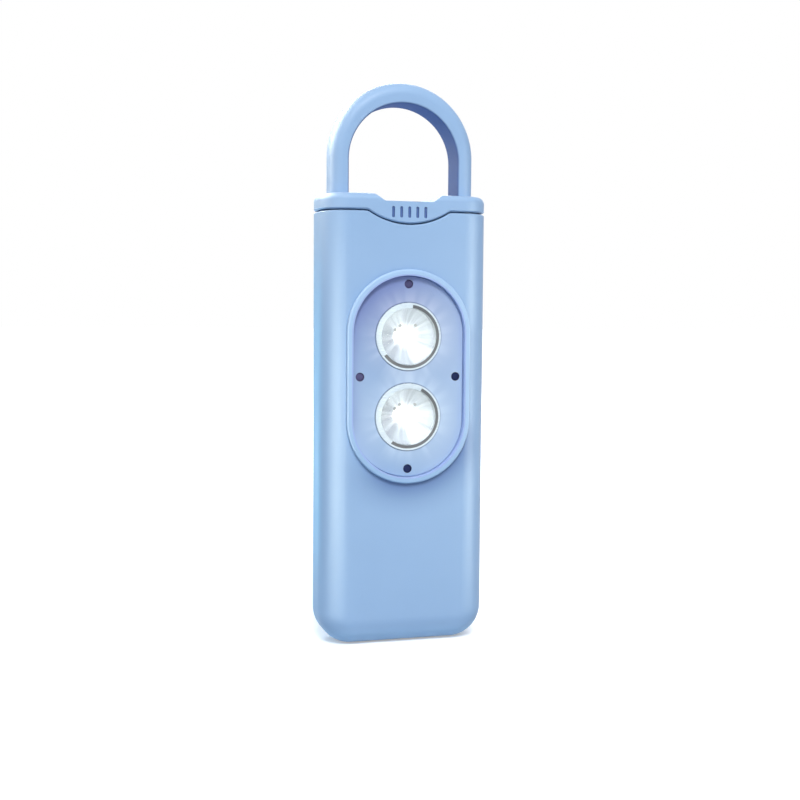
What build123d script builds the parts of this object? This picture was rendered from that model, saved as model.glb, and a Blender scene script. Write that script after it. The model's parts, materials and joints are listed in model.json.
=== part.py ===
"""Personal safety alarm with a pull-off cap.

A slim moulded housing carries two strobe lights in a raised oval bezel. A cap with a fixed shackle
plugs into its top. Pulling the cap up lifts its tongue off a sprung plunger, which sets off the siren.
X runs across the front, +Y points to the back and +Z up. The origin is on the base, under the middle
of the housing's section. All sizes are in millimetres.
"""

import os
from math import sqrt

from build123d import *

# Housing
side_room = 2.55            # between the cell tray and the housing's side wall
wall = 1.4
corner_radius = 5.8         # bottom corners, seen from the front
edge_radius = 4.8           # long front and back edges
parting_back = 3.2          # the back cover starts this far behind the middle plane
parting_groove = 0.2        # width and depth of the line where the two halves meet
seam_gap = 0.3
seam_bevel = 0.2
valley_half_width = 7.35    # round valley in the middle of the joint line
valley_depth = 2.25
overrun = 2.0               # how far a cutting tool runs past the face that it cuts
edge_tolerance = 0.01       # how far an edge may lie off the plane in which it is looked for

# Mouth that takes the cap's plug, and the deck under it
mouth_depth = 5.5
deck_thickness = 1.2

# Raised oval bezel and the plate in it
bezel_width = 22.3
bezel_straight = 15.0
bezel_proud = 0.8
bezel_rim = 1.1
bezel_round = 0.35
plate_drop = 0.95           # plate face below the rim
plate_thickness = 1.2
plate_fit = 0.05
plate_bevel = 0.12
floor_thickness = 0.85      # housing floor behind the plate
floor_margin = 0.9

# Strobe lights
light_room = 3.1            # between the housing's floor and the board
light_gap = 2.3             # between the two rings
ring_diameter = 11.7
ring_fit = 0.05
ring_proud = 0.2
ring_land = 0.35
ring_slope = 0.55           # width of the sloped face inside the land
ring_slope_depth = 0.15
ring_lip = 0.3              # thickness of the ring's edge over the lens
lens_fit = 0.05
lens_lap = 0.3              # how far the lens reaches under the ring's lip
lens_edge = 0.8
lens_crown = 0.45
reflector_flange = 0.4
reflector_wall = 0.45
throat_fit = 0.15            # reflector's throat round the diode's dome
reflector_bend_radius = 3.9
reflector_bend_share = 0.42
reflector_facets = 20
led_size = 3.5
led_base_height = 0.6
led_dome = 1.3
led_fit = 0.1

# Sound holes round the lights
sound_hole = 1.5
sound_inset_z = 1.45        # hole's middle inside the bezel's rim, above and below the lights
sound_inset_x = 1.4

# Circuit board
board_side_gap = 1.6
board_foot_gap = 3.2
board_head_gap = 2.7
board_thickness = 0.8
board_corner = 3.0
board_gap = 0.05
rib_x = 6.5                 # ribs that carry the lower end of the board
rib_thickness = 0.9
rib_length = 19.0

# Case screws and their bosses
screw_inset = 6.1
screw_drop = 5.1            # upper screws below the deck
boss_radius = 2.4
boss_gap = 0.05             # lower bosses above the coil
boss_siren_gap = 0.83       # lower bosses from the siren's chamber
screw_shank = 0.85
screw_fit = 0.03
screw_clearance = 0.12
screw_head = 1.6
screw_head_height = 1.1
head_recess = 1.5
screw_bite = 3.0

# Lip that keys the back cover into the front housing
lip_thickness = 0.6
lip_height = 1.0
lip_setback = 0.45
lip_root = 0.9

# Coin cells, their tray and contacts
cell_diameter = 20.0
cell_thickness = 2.5
cell_edge = 0.3
cell_cup_diameter = 17.0
cell_cup_height = 0.3
cell_gap = 0.02
cell_air = 0.13             # between the cells and the battery door
tray_base = 5.45            # tray above the housing's base
tray_clearance = 0.15
tray_wall = 0.9
tray_floor = 0.5
tray_gap = 0.5
contact_thickness = 0.2
contact_width = 3.0
contact_length = 13.0
contact_reach = 3.4
contact_notch = 0.2

# Battery door
door_side_margin = 1.0
door_low_margin = 2.3
door_high_margin = 4.7
door_thickness = 1.0
door_corner = 3.0
door_fit = 0.15
door_hole_clearance = 0.4
door_screw_drop = 1.6       # screw below the door's upper edge
door_screw_head = 1.2
door_screw_head_height = 0.55
door_screw_shank = 0.6
door_screw_bite = 2.6
door_boss = 1.6
grip_count = 5
grip_pitch = 1.2
grip_depth = 0.3
grip_length = 9.0
grip_width = 0.6
grip_drop = 3.6             # first grip groove below the door screw

# Siren, whose diaphragm is as wide as the cells
disc_thickness = 0.2
ceramic_diameter = 14.0
ceramic_thickness = 0.25
gasket_thickness = 0.8
gasket_width = 1.2
chamber_wall = 0.9
chamber_fit = 0.1
chamber_shelf = 0.8
chamber_floor = 0.6
chamber_port = 3.6
slot_count = 7
slot_pitch = 2.3
slot_width = 1.1
lead_diameter = 0.6
lead_spread = 1.1

# Board components, between the tray and the siren and in front of the cells
coil_rise = 0.65
coil_spacing = 0.4
coil_flange_diameter = 5.6
coil_core_diameter = 2.4
coil_flange = 0.6
coil_height = 4.0
coil_winding_fit = 0.1
capacitor_diameter = 5.0
capacitor_height = 4.4
capacitor_bevel = 0.4
chip_width = 4.9
chip_depth = 3.9
chip_height = 1.4
chip_rise = 3.6             # chip's middle above the cells' middle
chip_legs = 4
chip_leg_pitch = 1.27
chip_leg_width = 0.4
chip_leg_reach = 1.0
chip_leg_thickness = 0.2
small_length = 1.6
small_width = 0.8
small_height = 0.5
small_count = 4
small_pitch = 2.4

# Trip switch
switch_gap = 1.55           # switch above the siren
switch_room = 4.6           # between the switch and the deck
switch_width = 5.8
switch_depth = 3.4
switch_height = 4.8
switch_wall = 0.6
switch_bore = 1.35
plunger_radius = 0.9
plunger_out = 0.8           # how far it stands out while the cap holds it down
plunger_travel = 0.8
plunger_fit = 0.05
plunger_flange_height = 0.4
plunger_guide = 0.5
plunger_guide_length = 0.9
plunger_bevel = 0.3
spring_wire = 0.2
spring_sides = 8
spring_turns = 3

# Pull cap
cap_height = 2.95           # cap's top above the joint line
cap_round = 1.2
dip_depth = 1.3
dip_floor_half = 4.4
dip_top_half = 6.15
dip_shoulder = 1.0          # length of the cap's top over which the dip's upper corners run out
dip_round = 0.9
plug_clearance = 0.2
plug_rest_gap = 0.1
plug_plate_thickness = 2.2
plug_wall = 1.2
pocket_roof = 1.4
socket_wall = 1.2
spigot_height = 0.8
spigot_fit = 0.1
seal_section = 0.9
seal_fit = 0.03
seal_depth = 0.65
seal_bevel = 0.2

# Tongue
tongue_width = 8.0
tongue_thickness = 2.2
tongue_tip_gap = 0.05       # tip above the plunger
tongue_bevel = 0.4
tongue_fit = 0.08
tongue_head = 1.5           # how far the head reaches past the blade
tongue_head_depth = 0.9
tongue_head_height = 1.2
tongue_slot = 0.3
clamp_rib = 0.8

# Shackle
shackle_inset = 2.0         # legs inside the cap's sides
shackle_leg = 3.1
shackle_step = 0.3          # the feet are this much narrower, so that the legs cover their sockets
shackle_depth = 5.9
shackle_rise = 19.65        # arch above the cap's top
shackle_crown = 3.7         # thickness at the top of the arch
shackle_outer_round = 2.1
shackle_inner_round = 0.4
shackle_fit = 0.06
cap_screw_shank = 0.6
cap_screw_head = 1.1
cap_screw_head_height = 0.5
cap_screw_recess = 0.6
cap_screw_bite = 3.2

# Layout across the width
tray_radius = cell_diameter / 2 + tray_clearance + tray_wall
chamber_radius = cell_diameter / 2 + chamber_fit + chamber_wall
half_width = tray_radius + side_room + wall
body_width = 2 * half_width
shackle_outer = half_width - shackle_inset
shackle_inner = shackle_outer - shackle_leg
foot_outer = shackle_outer - shackle_step
leg_x = (foot_outer + shackle_inner) / 2
pocket_half_width = shackle_inner - socket_wall
screw_x = half_width - screw_inset
coil_x = -(door_boss + coil_spacing + coil_flange_diameter / 2)

# Layout from front to back
front_stack = plate_drop - bezel_proud + plate_thickness + floor_thickness + light_room
back_stack = (board_gap + tray_floor + contact_thickness + 2 * cell_thickness + cell_gap + cell_air
              + door_thickness)
body_depth = front_stack + board_thickness + back_stack
half_depth = body_depth / 2
inside_half_depth = half_depth - wall
rim_front = -(half_depth + bezel_proud)
plate_front = rim_front + plate_drop
plate_back = plate_front + plate_thickness
floor_back = plate_back + floor_thickness
ring_front = plate_front - ring_proud
lens_front = ring_front + ring_slope_depth + ring_lip
lens_back = lens_front + lens_edge
board_front = floor_back + light_room
board_back = board_front + board_thickness
tray_front = board_back + board_gap
tray_back = inside_half_depth - tray_gap
cell_front = tray_front + tray_floor + contact_thickness
cell_back = cell_front + 2 * cell_thickness + cell_gap
door_front = half_depth - door_thickness
disc_back = inside_half_depth - gasket_thickness
disc_front = disc_back - disc_thickness
ceramic_front = disc_front - ceramic_thickness
switch_y = board_back + switch_depth / 2

# Layout from the base up
cell_height = tray_base + tray_radius
door_bottom = cell_height - cell_diameter / 2 - door_low_margin
door_top = cell_height + cell_diameter / 2 + door_high_margin
door_middle = (door_bottom + door_top) / 2
door_screw_height = door_top - door_screw_drop
coil_z = cell_height + tray_radius + coil_rise + coil_flange_diameter / 2
screw_low = coil_z + coil_flange_diameter / 2 + boss_radius + boss_gap
siren_height = screw_low + sqrt((chamber_radius + boss_radius + boss_siren_gap) ** 2 - screw_x ** 2)
bezel_height = siren_height
switch_bottom = siren_height + chamber_radius + switch_gap
switch_top = switch_bottom + switch_height
plunger_top = switch_top + plunger_out
tongue_tip = plunger_top + tongue_tip_gap
flange_top = switch_top - switch_wall - plunger_travel
flange_bottom = flange_top - plunger_flange_height
deck_bottom = switch_top + switch_room
screw_high = deck_bottom - screw_drop
board_bottom = wall + board_foot_gap
board_top = deck_bottom - board_head_gap
deck_top = deck_bottom + deck_thickness
plug_bottom = deck_top + plug_rest_gap
recess_floor = plug_bottom + cap_screw_recess
plate_top = plug_bottom + plug_plate_thickness
seam_height = deck_top + mouth_depth
cap_top = seam_height + cap_height
pocket_top = cap_top - dip_depth - pocket_roof
shackle_top = cap_top + shackle_rise

# Places and outlines that several pieces share
ring_radius = ring_diameter / 2
window_radius = ring_radius - ring_land - ring_slope
lens_radius = window_radius + lens_lap
reflector_throat = led_dome + throat_fit
light_offset = (ring_diameter + light_gap) / 2
light_heights = {"upper": bezel_height + light_offset, "lower": bezel_height - light_offset}
plate_half_width = bezel_width / 2 - bezel_rim
sound_offset_x = plate_half_width - sound_inset_x
sound_offset_z = bezel_straight / 2 + plate_half_width - sound_inset_z
sound_places = [(0, bezel_height - sound_offset_z), (0, bezel_height + sound_offset_z),
                (-sound_offset_x, bezel_height), (sound_offset_x, bezel_height)]
screw_places = [(side * screw_x, height) for side in (-1, 1) for height in (screw_low, screw_high)]
pocket_depth = body_depth - 2 * (wall + plug_clearance + plug_wall)
plug_inset = wall + plug_clearance


def slab(outline, front, back):
    """An outline drawn in X and Z, made solid from y = front to y = back."""
    return extrude(Plane.XZ.offset(-back) * outline, amount=back - front)


def disc(radius, front, back, x=0.0, z=0.0):
    """A round slug along Y."""
    return slab(Pos(x, z) * Circle(radius), front, back)


def prism(outline, bottom, top, x=0.0, y=0.0):
    """An outline drawn in X and Y, made solid from z = bottom to z = top."""
    return extrude(Pos(x, y, bottom) * outline, amount=top - bottom)


def turned_along_y(profile, x, z):
    """A solid of revolution about a line along Y. The profile is drawn as radius against y."""
    return Pos(x, 0, z) * revolve(make_face(profile), Axis.Y)


def turned_along_z(profile, x, y):
    """A solid of revolution about a line along Z. The profile is drawn as radius against z."""
    return Pos(x, y, 0) * revolve(Plane.XZ * make_face(profile), Axis.Z)


def edges_at(shape, axis, place):
    """The edges that lie wholly in one plane across an axis."""
    return shape.edges().filter_by_position(axis, place - edge_tolerance, place + edge_tolerance)


def oval(width):
    """The bezel's upright oval at some width, in its place."""
    return Pos(0, bezel_height) * SlotCenterToCenter(bezel_straight, width, rotation=90)


def front_outline(inset, bottom, top):
    """The housing seen from the front, drawn in by inset, with its two bottom corners round."""
    half = half_width - inset
    outline = make_face(Polyline((-half, bottom), (half, bottom), (half, top), (-half, top), close=True))
    return fillet(outline.vertices().sort_by(Axis.Y)[:2], corner_radius - inset)


def pebble(inset, top):
    """The housing's outer form, or the hollow in it, with soft long edges and a flat top."""
    depth = half_depth - inset
    tall = slab(front_outline(inset, inset, top + overrun), -depth, depth)
    for y in (-depth, depth):
        soft = [edge for edge in edges_at(tall, Axis.Y, y) if edge.center().Z < top + overrun / 2]
        tall = fillet(soft, edge_radius - inset)
    return split(tall, Plane.XY.offset(top), keep=Keep.BOTTOM)


def section(inset):
    """The housing's section seen from above, drawn in by inset."""
    return RectangleRounded(body_width - 2 * inset, body_depth - 2 * inset, edge_radius - inset)


def above_seam(level):
    """Everything above the joint line: a flat line with a round valley in the middle."""
    edge = Polyline((-valley_half_width, level), (-body_width, level), (-body_width, level + body_width),
                    (body_width, level + body_width), (body_width, level), (valley_half_width, level))
    valley = ThreePointArc((valley_half_width, level), (0, level - valley_depth), (-valley_half_width, level))
    return slab(make_face(edge + valley), -body_depth, body_depth)


def layer(front, back):
    """A block larger than the housing, from y = front to y = back."""
    return slab(Pos(0, seam_height / 2) * Rectangle(2 * body_width, 2 * seam_height), front, back)


def housing_shell():
    """Both halves of the housing in one, before they are parted."""
    shell = pebble(0, seam_height)
    shell -= pebble(wall, deck_bottom)
    shell -= above_seam(seam_height - seam_gap / 2)
    rim = [edge for edge in shell.edges() if edge.center().Z > seam_height - valley_depth - seam_gap]
    shell = chamfer(rim, seam_bevel)
    shell -= prism(section(wall), deck_top, seam_height + overrun)
    slot = Rectangle(tongue_width + 2 * tongue_slot, tongue_thickness + 2 * tongue_slot)
    return shell - prism(slot, deck_bottom - overrun, deck_top + overrun, y=switch_y)


def front_housing(shell):
    """Front tub with the raised bezel, the floor behind the plate, ribs, bosses and the parting groove."""
    tub = shell & layer(-body_depth, parting_back)
    tub -= layer(parting_back - parting_groove, parting_back) - pebble(parting_groove, seam_height)
    bezel = slab(oval(bezel_width), rim_front, -inside_half_depth)
    tub += fillet(edges_at(bezel, Axis.Y, rim_front), bezel_round)
    tub += slab(oval(bezel_width + 2 * floor_margin), -inside_half_depth, floor_back)
    for side in (-1, 1):
        rib = Pos(side * rib_x, cell_height) * Rectangle(rib_thickness, rib_length)
        tub += slab(rib, -inside_half_depth - wall / 2, board_front - board_gap)
    for x, z in screw_places:
        tub += disc(boss_radius, -inside_half_depth - wall / 2, board_front, x, z)
        tub -= disc(screw_shank + screw_fit, board_front - screw_bite - screw_clearance,
                    board_front + overrun, x, z)
    tub -= slab(oval(2 * plate_half_width), rim_front - overrun, plate_back)
    for height in light_heights.values():
        tub -= disc(ring_radius + ring_fit, rim_front, floor_back + overrun, z=height)
    for x, z in sound_places:
        tub -= disc(sound_hole / 2, rim_front, floor_back + overrun, x, z)
    return tub - prism(section(wall), deck_top, seam_height + overrun)


def cover_lip():
    """The thin wall on the back cover that slides inside the front housing."""
    outer = wall + lip_setback
    inner = outer + lip_thickness
    front = parting_back - lip_height
    back = parting_back + lip_root
    top = deck_bottom - lip_height
    lip = slab(front_outline(outer, outer, top), front, back)
    return lip - slab(front_outline(inner, inner, top + overrun), front - overrun, back + overrun)


def siren_grille():
    """Sound slots that fill a circle behind the siren."""
    slots = []
    for step in range(slot_count):
        rise = (step - (slot_count - 1) / 2) * slot_pitch
        length = 2 * sqrt((cell_diameter / 2 - gasket_width) ** 2 - rise ** 2)
        slot = Pos(0, siren_height + rise) * SlotOverall(length, slot_width)
        slots.append(slab(slot, inside_half_depth - overrun / 2, half_depth + overrun))
    return slots


def back_cover(shell):
    """Back shell with the siren grille, the seat of the battery door and the screw bosses."""
    cover = (shell & layer(parting_back, body_depth)) + cover_lip()
    for x, z in screw_places:
        cover += disc(boss_radius, board_back + board_gap, half_depth - wall / 2, x, z)
        cover -= disc(screw_shank + screw_clearance, board_back - overrun, body_depth, x, z)
        cover -= disc(screw_head + screw_clearance, half_depth - head_recess, body_depth, x, z)
    cover += disc(door_boss, door_front - door_screw_bite - wall / 2, door_front - wall / 4,
                  z=door_screw_height)
    seat = RectangleRounded(cell_diameter + 2 * door_side_margin, door_top - door_bottom, door_corner)
    cover -= slab(Pos(0, door_middle) * seat, door_front, body_depth)
    cover -= disc(cell_diameter / 2 + door_hole_clearance, 0, body_depth, z=cell_height)
    cover -= disc(door_screw_shank + screw_fit, door_front - door_screw_bite - screw_clearance,
                  door_front + overrun, z=door_screw_height)
    return cover - siren_grille()


def battery_door():
    """Door flush with the back, cut from the housing's own outer form, with grip grooves."""
    outline = RectangleRounded(cell_diameter + 2 * (door_side_margin - door_fit),
                               door_top - door_bottom - 2 * door_fit, door_corner - door_fit)
    door = pebble(0, seam_height) & slab(Pos(0, door_middle) * outline, door_front, body_depth)
    door -= disc(door_screw_shank + screw_clearance, 0, body_depth, z=door_screw_height)
    door -= disc(door_screw_head + screw_clearance, half_depth - door_screw_head_height, body_depth,
                 z=door_screw_height)
    first = door_screw_height - grip_drop
    grooves = [slab(Pos(0, first - step * grip_pitch) * SlotOverall(grip_length, grip_width),
                    half_depth - grip_depth, body_depth) for step in range(grip_count)]
    return door - grooves


def face_plate():
    """Plate in the bezel, with the bores of the two lights and the sound holes."""
    plate = slab(oval(2 * (plate_half_width - plate_fit)), plate_front, plate_back)
    plate = chamfer(edges_at(plate, Axis.Y, plate_front), plate_bevel)
    for height in light_heights.values():
        plate -= disc(ring_radius + ring_fit, plate_front - overrun, plate_back + overrun, z=height)
    for x, z in sound_places:
        plate -= disc(sound_hole / 2, plate_front - overrun, plate_back + overrun, x, z)
    return plate


def light_ring(height):
    """Trim ring with a sloped inner face and a seat for the lens behind it."""
    seat = lens_radius + lens_fit
    profile = Polyline((ring_radius, ring_front), (ring_radius - ring_land, ring_front),
                       (window_radius, ring_front + ring_slope_depth),
                       (window_radius, lens_front - lens_fit), (seat, lens_front - lens_fit),
                       (seat, floor_back), (ring_radius, floor_back), close=True)
    return turned_along_y(profile, 0, height)


def lens(height):
    """Clear disc with a low crown that fills the ring's window."""
    crown = window_radius - lens_fit
    bulge = (crown ** 2 + lens_crown ** 2) / (2 * lens_crown)
    ball = Pos(0, lens_front - lens_crown + bulge, height) * Sphere(bulge)
    dome = ball & disc(crown, lens_front - lens_crown, lens_front, z=height)
    return disc(lens_radius, lens_front, lens_back, z=height) + dome


def reflector(height):
    """Faceted bowl that stands on the board round the diode and carries the lens."""
    mouth = lens_back + lens_fit
    socket = board_front - led_base_height - led_fit
    throat = socket - reflector_wall
    bend = mouth + (throat - mouth) * reflector_bend_share
    foot = led_size / sqrt(2) + led_fit
    outside = Polyline((0, mouth), (lens_radius, mouth), (lens_radius, mouth + reflector_flange),
                       (reflector_bend_radius + reflector_wall, bend), (foot + reflector_wall, throat),
                       (foot + reflector_wall, board_front), (0, board_front), close=True)
    bowl = turned_along_y(outside, 0, height)
    rings = [(lens_radius - reflector_wall, mouth), (reflector_bend_radius, bend), (reflector_throat, throat)]
    levels = [Plane.XZ.offset(-y) * Pos(0, height) * RegularPolygon(radius, reflector_facets)
              for radius, y in rings]
    bowl -= loft(levels[:2], ruled=True)
    bowl -= loft(levels[1:], ruled=True)
    bowl -= disc(reflector_throat, throat, board_front, z=height)
    return bowl - disc(foot, socket, board_front, z=height)


def led(height):
    """Surface-mounted diode: a square base with a domed lens."""
    base = slab(Pos(0, height) * Rectangle(led_size, led_size), board_front - led_base_height, board_front)
    dome = Pos(0, board_front - led_base_height, height) * Sphere(led_dome)
    return base + (dome & layer(-body_depth, board_front - led_base_height))


def circuit_board():
    """Main board, clamped between the bosses of both shells."""
    middle = (board_bottom + board_top) / 2
    outline = RectangleRounded(body_width - 2 * (wall + board_side_gap), board_top - board_bottom,
                               board_corner)
    board = slab(Pos(0, middle) * outline, board_front, board_back)
    for x, z in screw_places:
        board -= disc(screw_shank + screw_clearance, board_front - overrun, board_back + overrun, x, z)
    return board


def case_screws():
    """Four screws that hold the back cover, the board and the front housing together."""
    seat = half_depth - head_recess
    profile = Polyline((0, board_front - screw_bite), (screw_shank, board_front - screw_bite),
                       (screw_shank, seat), (screw_head, seat), (screw_head, seat + screw_head_height),
                       (0, seat + screw_head_height), close=True)
    return [turned_along_y(profile, x, z) for x, z in screw_places]


def door_screw():
    """Small screw that holds the battery door."""
    seat = half_depth - door_screw_head_height
    tip = door_front - door_screw_bite
    profile = Polyline((0, tip), (door_screw_shank, tip), (door_screw_shank, seat), (door_screw_head, seat),
                       (door_screw_head, half_depth), (0, half_depth), close=True)
    return turned_along_y(profile, 0, door_screw_height)


def cell_tray():
    """Round tray on the board that holds both cells, notched for the side contact."""
    inner = cell_diameter / 2 + tray_clearance
    tray = disc(tray_radius, tray_front, tray_back, z=cell_height)
    tray -= disc(inner, tray_front + tray_floor, tray_back + overrun, z=cell_height)
    notch = Pos(0, cell_height - tray_radius) * Rectangle(contact_width + 2 * contact_notch,
                                                         2 * (tray_wall + contact_notch))
    return tray - slab(notch, tray_front - overrun, tray_back + overrun)


def contact_minus():
    """Flat strip under the front cell, along the tray's floor."""
    strip = Rectangle(contact_width, contact_length)
    return slab(Pos(0, cell_height) * strip, tray_front + tray_floor, cell_front)


def contact_plus():
    """Angled strip that stands in the tray's notch and touches both cells from the side."""
    face = cell_height - cell_diameter / 2 - cell_gap
    rise = slab(Pos(0, face - contact_thickness / 2) * Rectangle(contact_width, contact_thickness),
                board_back, cell_back - cell_edge)
    foot = slab(Pos(0, face - contact_reach / 2) * Rectangle(contact_width, contact_reach),
                board_back, board_back + contact_thickness)
    return rise + foot


def coin_cell(front):
    """Coin cell: a rolled can, open to the front, with the narrower cup standing out of it."""
    can = disc(cell_diameter / 2, front + cell_cup_height, front + cell_thickness, z=cell_height)
    can = chamfer(can.edges(), cell_edge)
    return can + disc(cell_cup_diameter / 2, front, front + cell_cup_height, z=cell_height)


def siren_disc():
    """Thin metal diaphragm."""
    return disc(cell_diameter / 2, disc_front, disc_back, z=siren_height)


def siren_ceramic():
    """Ceramic disc bonded to the diaphragm."""
    return disc(ceramic_diameter / 2, ceramic_front, disc_front, z=siren_height)


def siren_gasket():
    """Foam ring between the diaphragm and the back cover."""
    ring = disc(cell_diameter / 2, disc_back, inside_half_depth, z=siren_height)
    return ring - disc(cell_diameter / 2 - gasket_width, 0, body_depth, z=siren_height)


def siren_chamber():
    """Cup on the board that carries the diaphragm on a shelf."""
    cup = disc(chamber_radius, board_back, disc_back, z=siren_height)
    cup -= disc(cell_diameter / 2 + chamber_fit, disc_front, disc_back + overrun, z=siren_height)
    cup -= disc(cell_diameter / 2 - chamber_shelf, board_back + chamber_floor, disc_back, z=siren_height)
    return cup - disc(chamber_port / 2, board_back - overrun, disc_back, z=siren_height)


def siren_leads():
    """Two short leads from the ceramic to the board, through the chamber's port."""
    return [disc(lead_diameter / 2, board_back, ceramic_front, side * lead_spread, siren_height)
            for side in (-1, 1)]


def coil_core():
    """Bobbin core of the step-up coil."""
    core = disc(coil_core_diameter / 2, board_back, board_back + coil_height, coil_x, coil_z)
    for front in (board_back, board_back + coil_height - coil_flange):
        core += disc(coil_flange_diameter / 2, front, front + coil_flange, coil_x, coil_z)
    return core


def coil_winding():
    """The copper between the bobbin's flanges."""
    front = board_back + coil_flange + coil_winding_fit
    back = board_back + coil_height - coil_flange - coil_winding_fit
    copper = disc(coil_flange_diameter / 2 - coil_winding_fit, front, back, coil_x, coil_z)
    bore = coil_core_diameter / 2 + coil_winding_fit
    return copper - disc(bore, front - overrun, back + overrun, coil_x, coil_z)


def capacitor():
    """Upright can that stores the strobe's charge."""
    can = disc(capacitor_diameter / 2, board_back, board_back + capacitor_height, -coil_x, coil_z)
    return chamfer(edges_at(can, Axis.Y, board_back + capacitor_height), capacitor_bevel)


def driver_chip():
    """Driver chip on the front of the board, with its legs."""
    middle = cell_height + chip_rise
    chip = slab(Pos(0, middle) * Rectangle(chip_width, chip_depth), board_front - chip_height, board_front)
    chip = chamfer(edges_at(chip, Axis.Y, board_front - chip_height), chip_leg_thickness)
    leg = Rectangle(chip_leg_width, chip_depth + 2 * chip_leg_reach)
    for step in range(chip_legs):
        x = (step - (chip_legs - 1) / 2) * chip_leg_pitch
        chip += slab(Pos(x, middle) * leg, board_front - chip_leg_thickness, board_front)
    return chip


def small_parts():
    """Row of chip resistors and capacitors below the driver chip."""
    height = cell_height - chip_rise
    places = [((step - (small_count - 1) / 2) * small_pitch, height) for step in range(small_count)]
    return [slab(Pos(x, z) * Rectangle(small_width, small_length), board_front - small_height, board_front)
            for x, z in places]


def switch_case():
    """Body of the trip switch, with a bore for the plunger and its spring."""
    case = prism(Rectangle(switch_width, switch_depth), switch_bottom, switch_top, y=switch_y)
    case = chamfer(edges_at(case, Axis.Z, switch_top), switch_wall / 2)
    case -= prism(Circle(switch_bore), switch_bottom + switch_wall, switch_top - switch_wall, y=switch_y)
    return case - prism(Circle(plunger_radius + plunger_fit), switch_top - switch_wall, switch_top + overrun,
                        y=switch_y)


def switch_plunger():
    """Plunger with a bevelled tip, a flange that stops it and a stub that guides the spring."""
    flange = switch_bore - plunger_fit
    stub = flange_bottom - plunger_guide_length
    side = Polyline((0, stub), (plunger_guide, stub), (plunger_guide, flange_bottom),
                    (flange, flange_bottom), (flange, flange_top), (plunger_radius, flange_top),
                    (plunger_radius, plunger_top), (0, plunger_top), close=True)
    plunger = turned_along_z(side, 0, switch_y)
    return chamfer(edges_at(plunger, Axis.Z, plunger_top), plunger_bevel)


def plunger_spring():
    """Coil spring under the plunger's flange."""
    bottom = switch_bottom + switch_wall + spring_wire / 2
    height = flange_bottom - spring_wire / 2 - bottom
    radius = (switch_bore - plunger_fit + plunger_guide) / 2
    path = Helix(height / spring_turns, height, radius)
    wire = Plane(path @ 0, z_dir=path % 0) * RegularPolygon(spring_wire / 2, spring_sides)
    return Pos(0, switch_y, bottom) * sweep(wire, path)


def cap_dip():
    """The cutter that lowers the middle of the cap's top, with soft corners."""
    floor = cap_top - dip_depth
    far = dip_top_half + dip_shoulder
    area = make_face(Polyline((-dip_floor_half, floor), (dip_floor_half, floor), (dip_top_half, cap_top),
                              (far, cap_top), (far, cap_top + overrun), (-far, cap_top + overrun),
                              (-far, cap_top), (-dip_top_half, cap_top), close=True))
    bends = [corner for corner in area.vertices() if abs(corner.X) < dip_top_half + edge_tolerance]
    return slab(fillet(bends, dip_round), -body_depth, body_depth)


def shackle_foot_outline(clearance):
    """The section of the shackle's two feet, which enter the cap."""
    outline = Rectangle(foot_outer - shackle_inner + 2 * clearance, shackle_depth + 2 * clearance)
    outer = outline.vertices().sort_by(Axis.X)[2:]
    outline = fillet(outer, shackle_outer_round + clearance)
    right = Pos(leg_x, 0) * outline
    return [right, mirror(right, Plane.YZ)]


def cap_shell():
    """Cap with its hollow plug, the sockets of the shackle and the ribs that clamp the tongue."""
    cap = prism(section(0), deck_top, cap_top)
    cap = fillet(edges_at(cap, Axis.Z, cap_top), cap_round)
    cap &= above_seam(seam_height + seam_gap / 2)
    rim = [edge for edge in cap.edges() if edge.center().Z < seam_height + seam_gap
           and abs(edge.center().Z - seam_height) < valley_depth + seam_gap]
    cap = chamfer(rim, seam_bevel)
    cap -= cap_dip()
    cap += prism(section(plug_inset), plate_top, pocket_top)
    cap -= prism(Rectangle(2 * pocket_half_width, pocket_depth), deck_top, pocket_top)
    rib_foot = plate_top + tongue_head_height + tongue_fit
    for side in (-1, 1):
        cap += prism(Rectangle(clamp_rib, pocket_depth), rib_foot, pocket_top + pocket_roof / 2,
                     x=side * tongue_width / 2)
    for foot in shackle_foot_outline(shackle_fit):
        cap -= prism(foot, deck_top, cap_top + overrun)
    return cap


def plug_plate():
    """Plate that closes the plug from below, with the seal's groove and the screw seats."""
    plate = prism(section(plug_inset), plug_bottom, plate_top)
    middle = (plug_bottom + plate_top) / 2
    groove = seal_section / 2 + seal_fit
    ring = prism(section(0), middle - groove, middle + groove)
    plate -= ring - prism(section(plug_inset + seal_depth), deck_top, seam_height)
    blade = Rectangle(tongue_width + 2 * tongue_fit, tongue_thickness + 2 * tongue_fit)
    plate -= prism(blade, deck_top, seam_height, y=switch_y)
    for side in (-1, 1):
        plate -= prism(Circle(cap_screw_shank + screw_clearance), deck_top, seam_height, x=side * leg_x)
        plate -= prism(Circle(cap_screw_head + screw_clearance), deck_top, recess_floor, x=side * leg_x)
        spigot = Rectangle(plug_wall, pocket_depth - 2 * spigot_fit)
        plate += prism(spigot, plate_top - plug_wall / 2, plate_top + spigot_height,
                       x=side * (pocket_half_width - spigot_fit - plug_wall / 2))
    return plate


def pull_tongue():
    """Tongue with a head that the plug clamps and a blade that holds the plunger down."""
    top = plate_top + tongue_head_height
    blade = prism(Rectangle(tongue_width, tongue_thickness), tongue_tip, top, y=switch_y)
    blade = chamfer(edges_at(blade, Axis.Z, tongue_tip), tongue_bevel)
    head = Rectangle(tongue_width + 2 * tongue_head, tongue_thickness + 2 * tongue_head_depth)
    return blade + prism(head, plate_top, top, y=switch_y)


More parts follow.
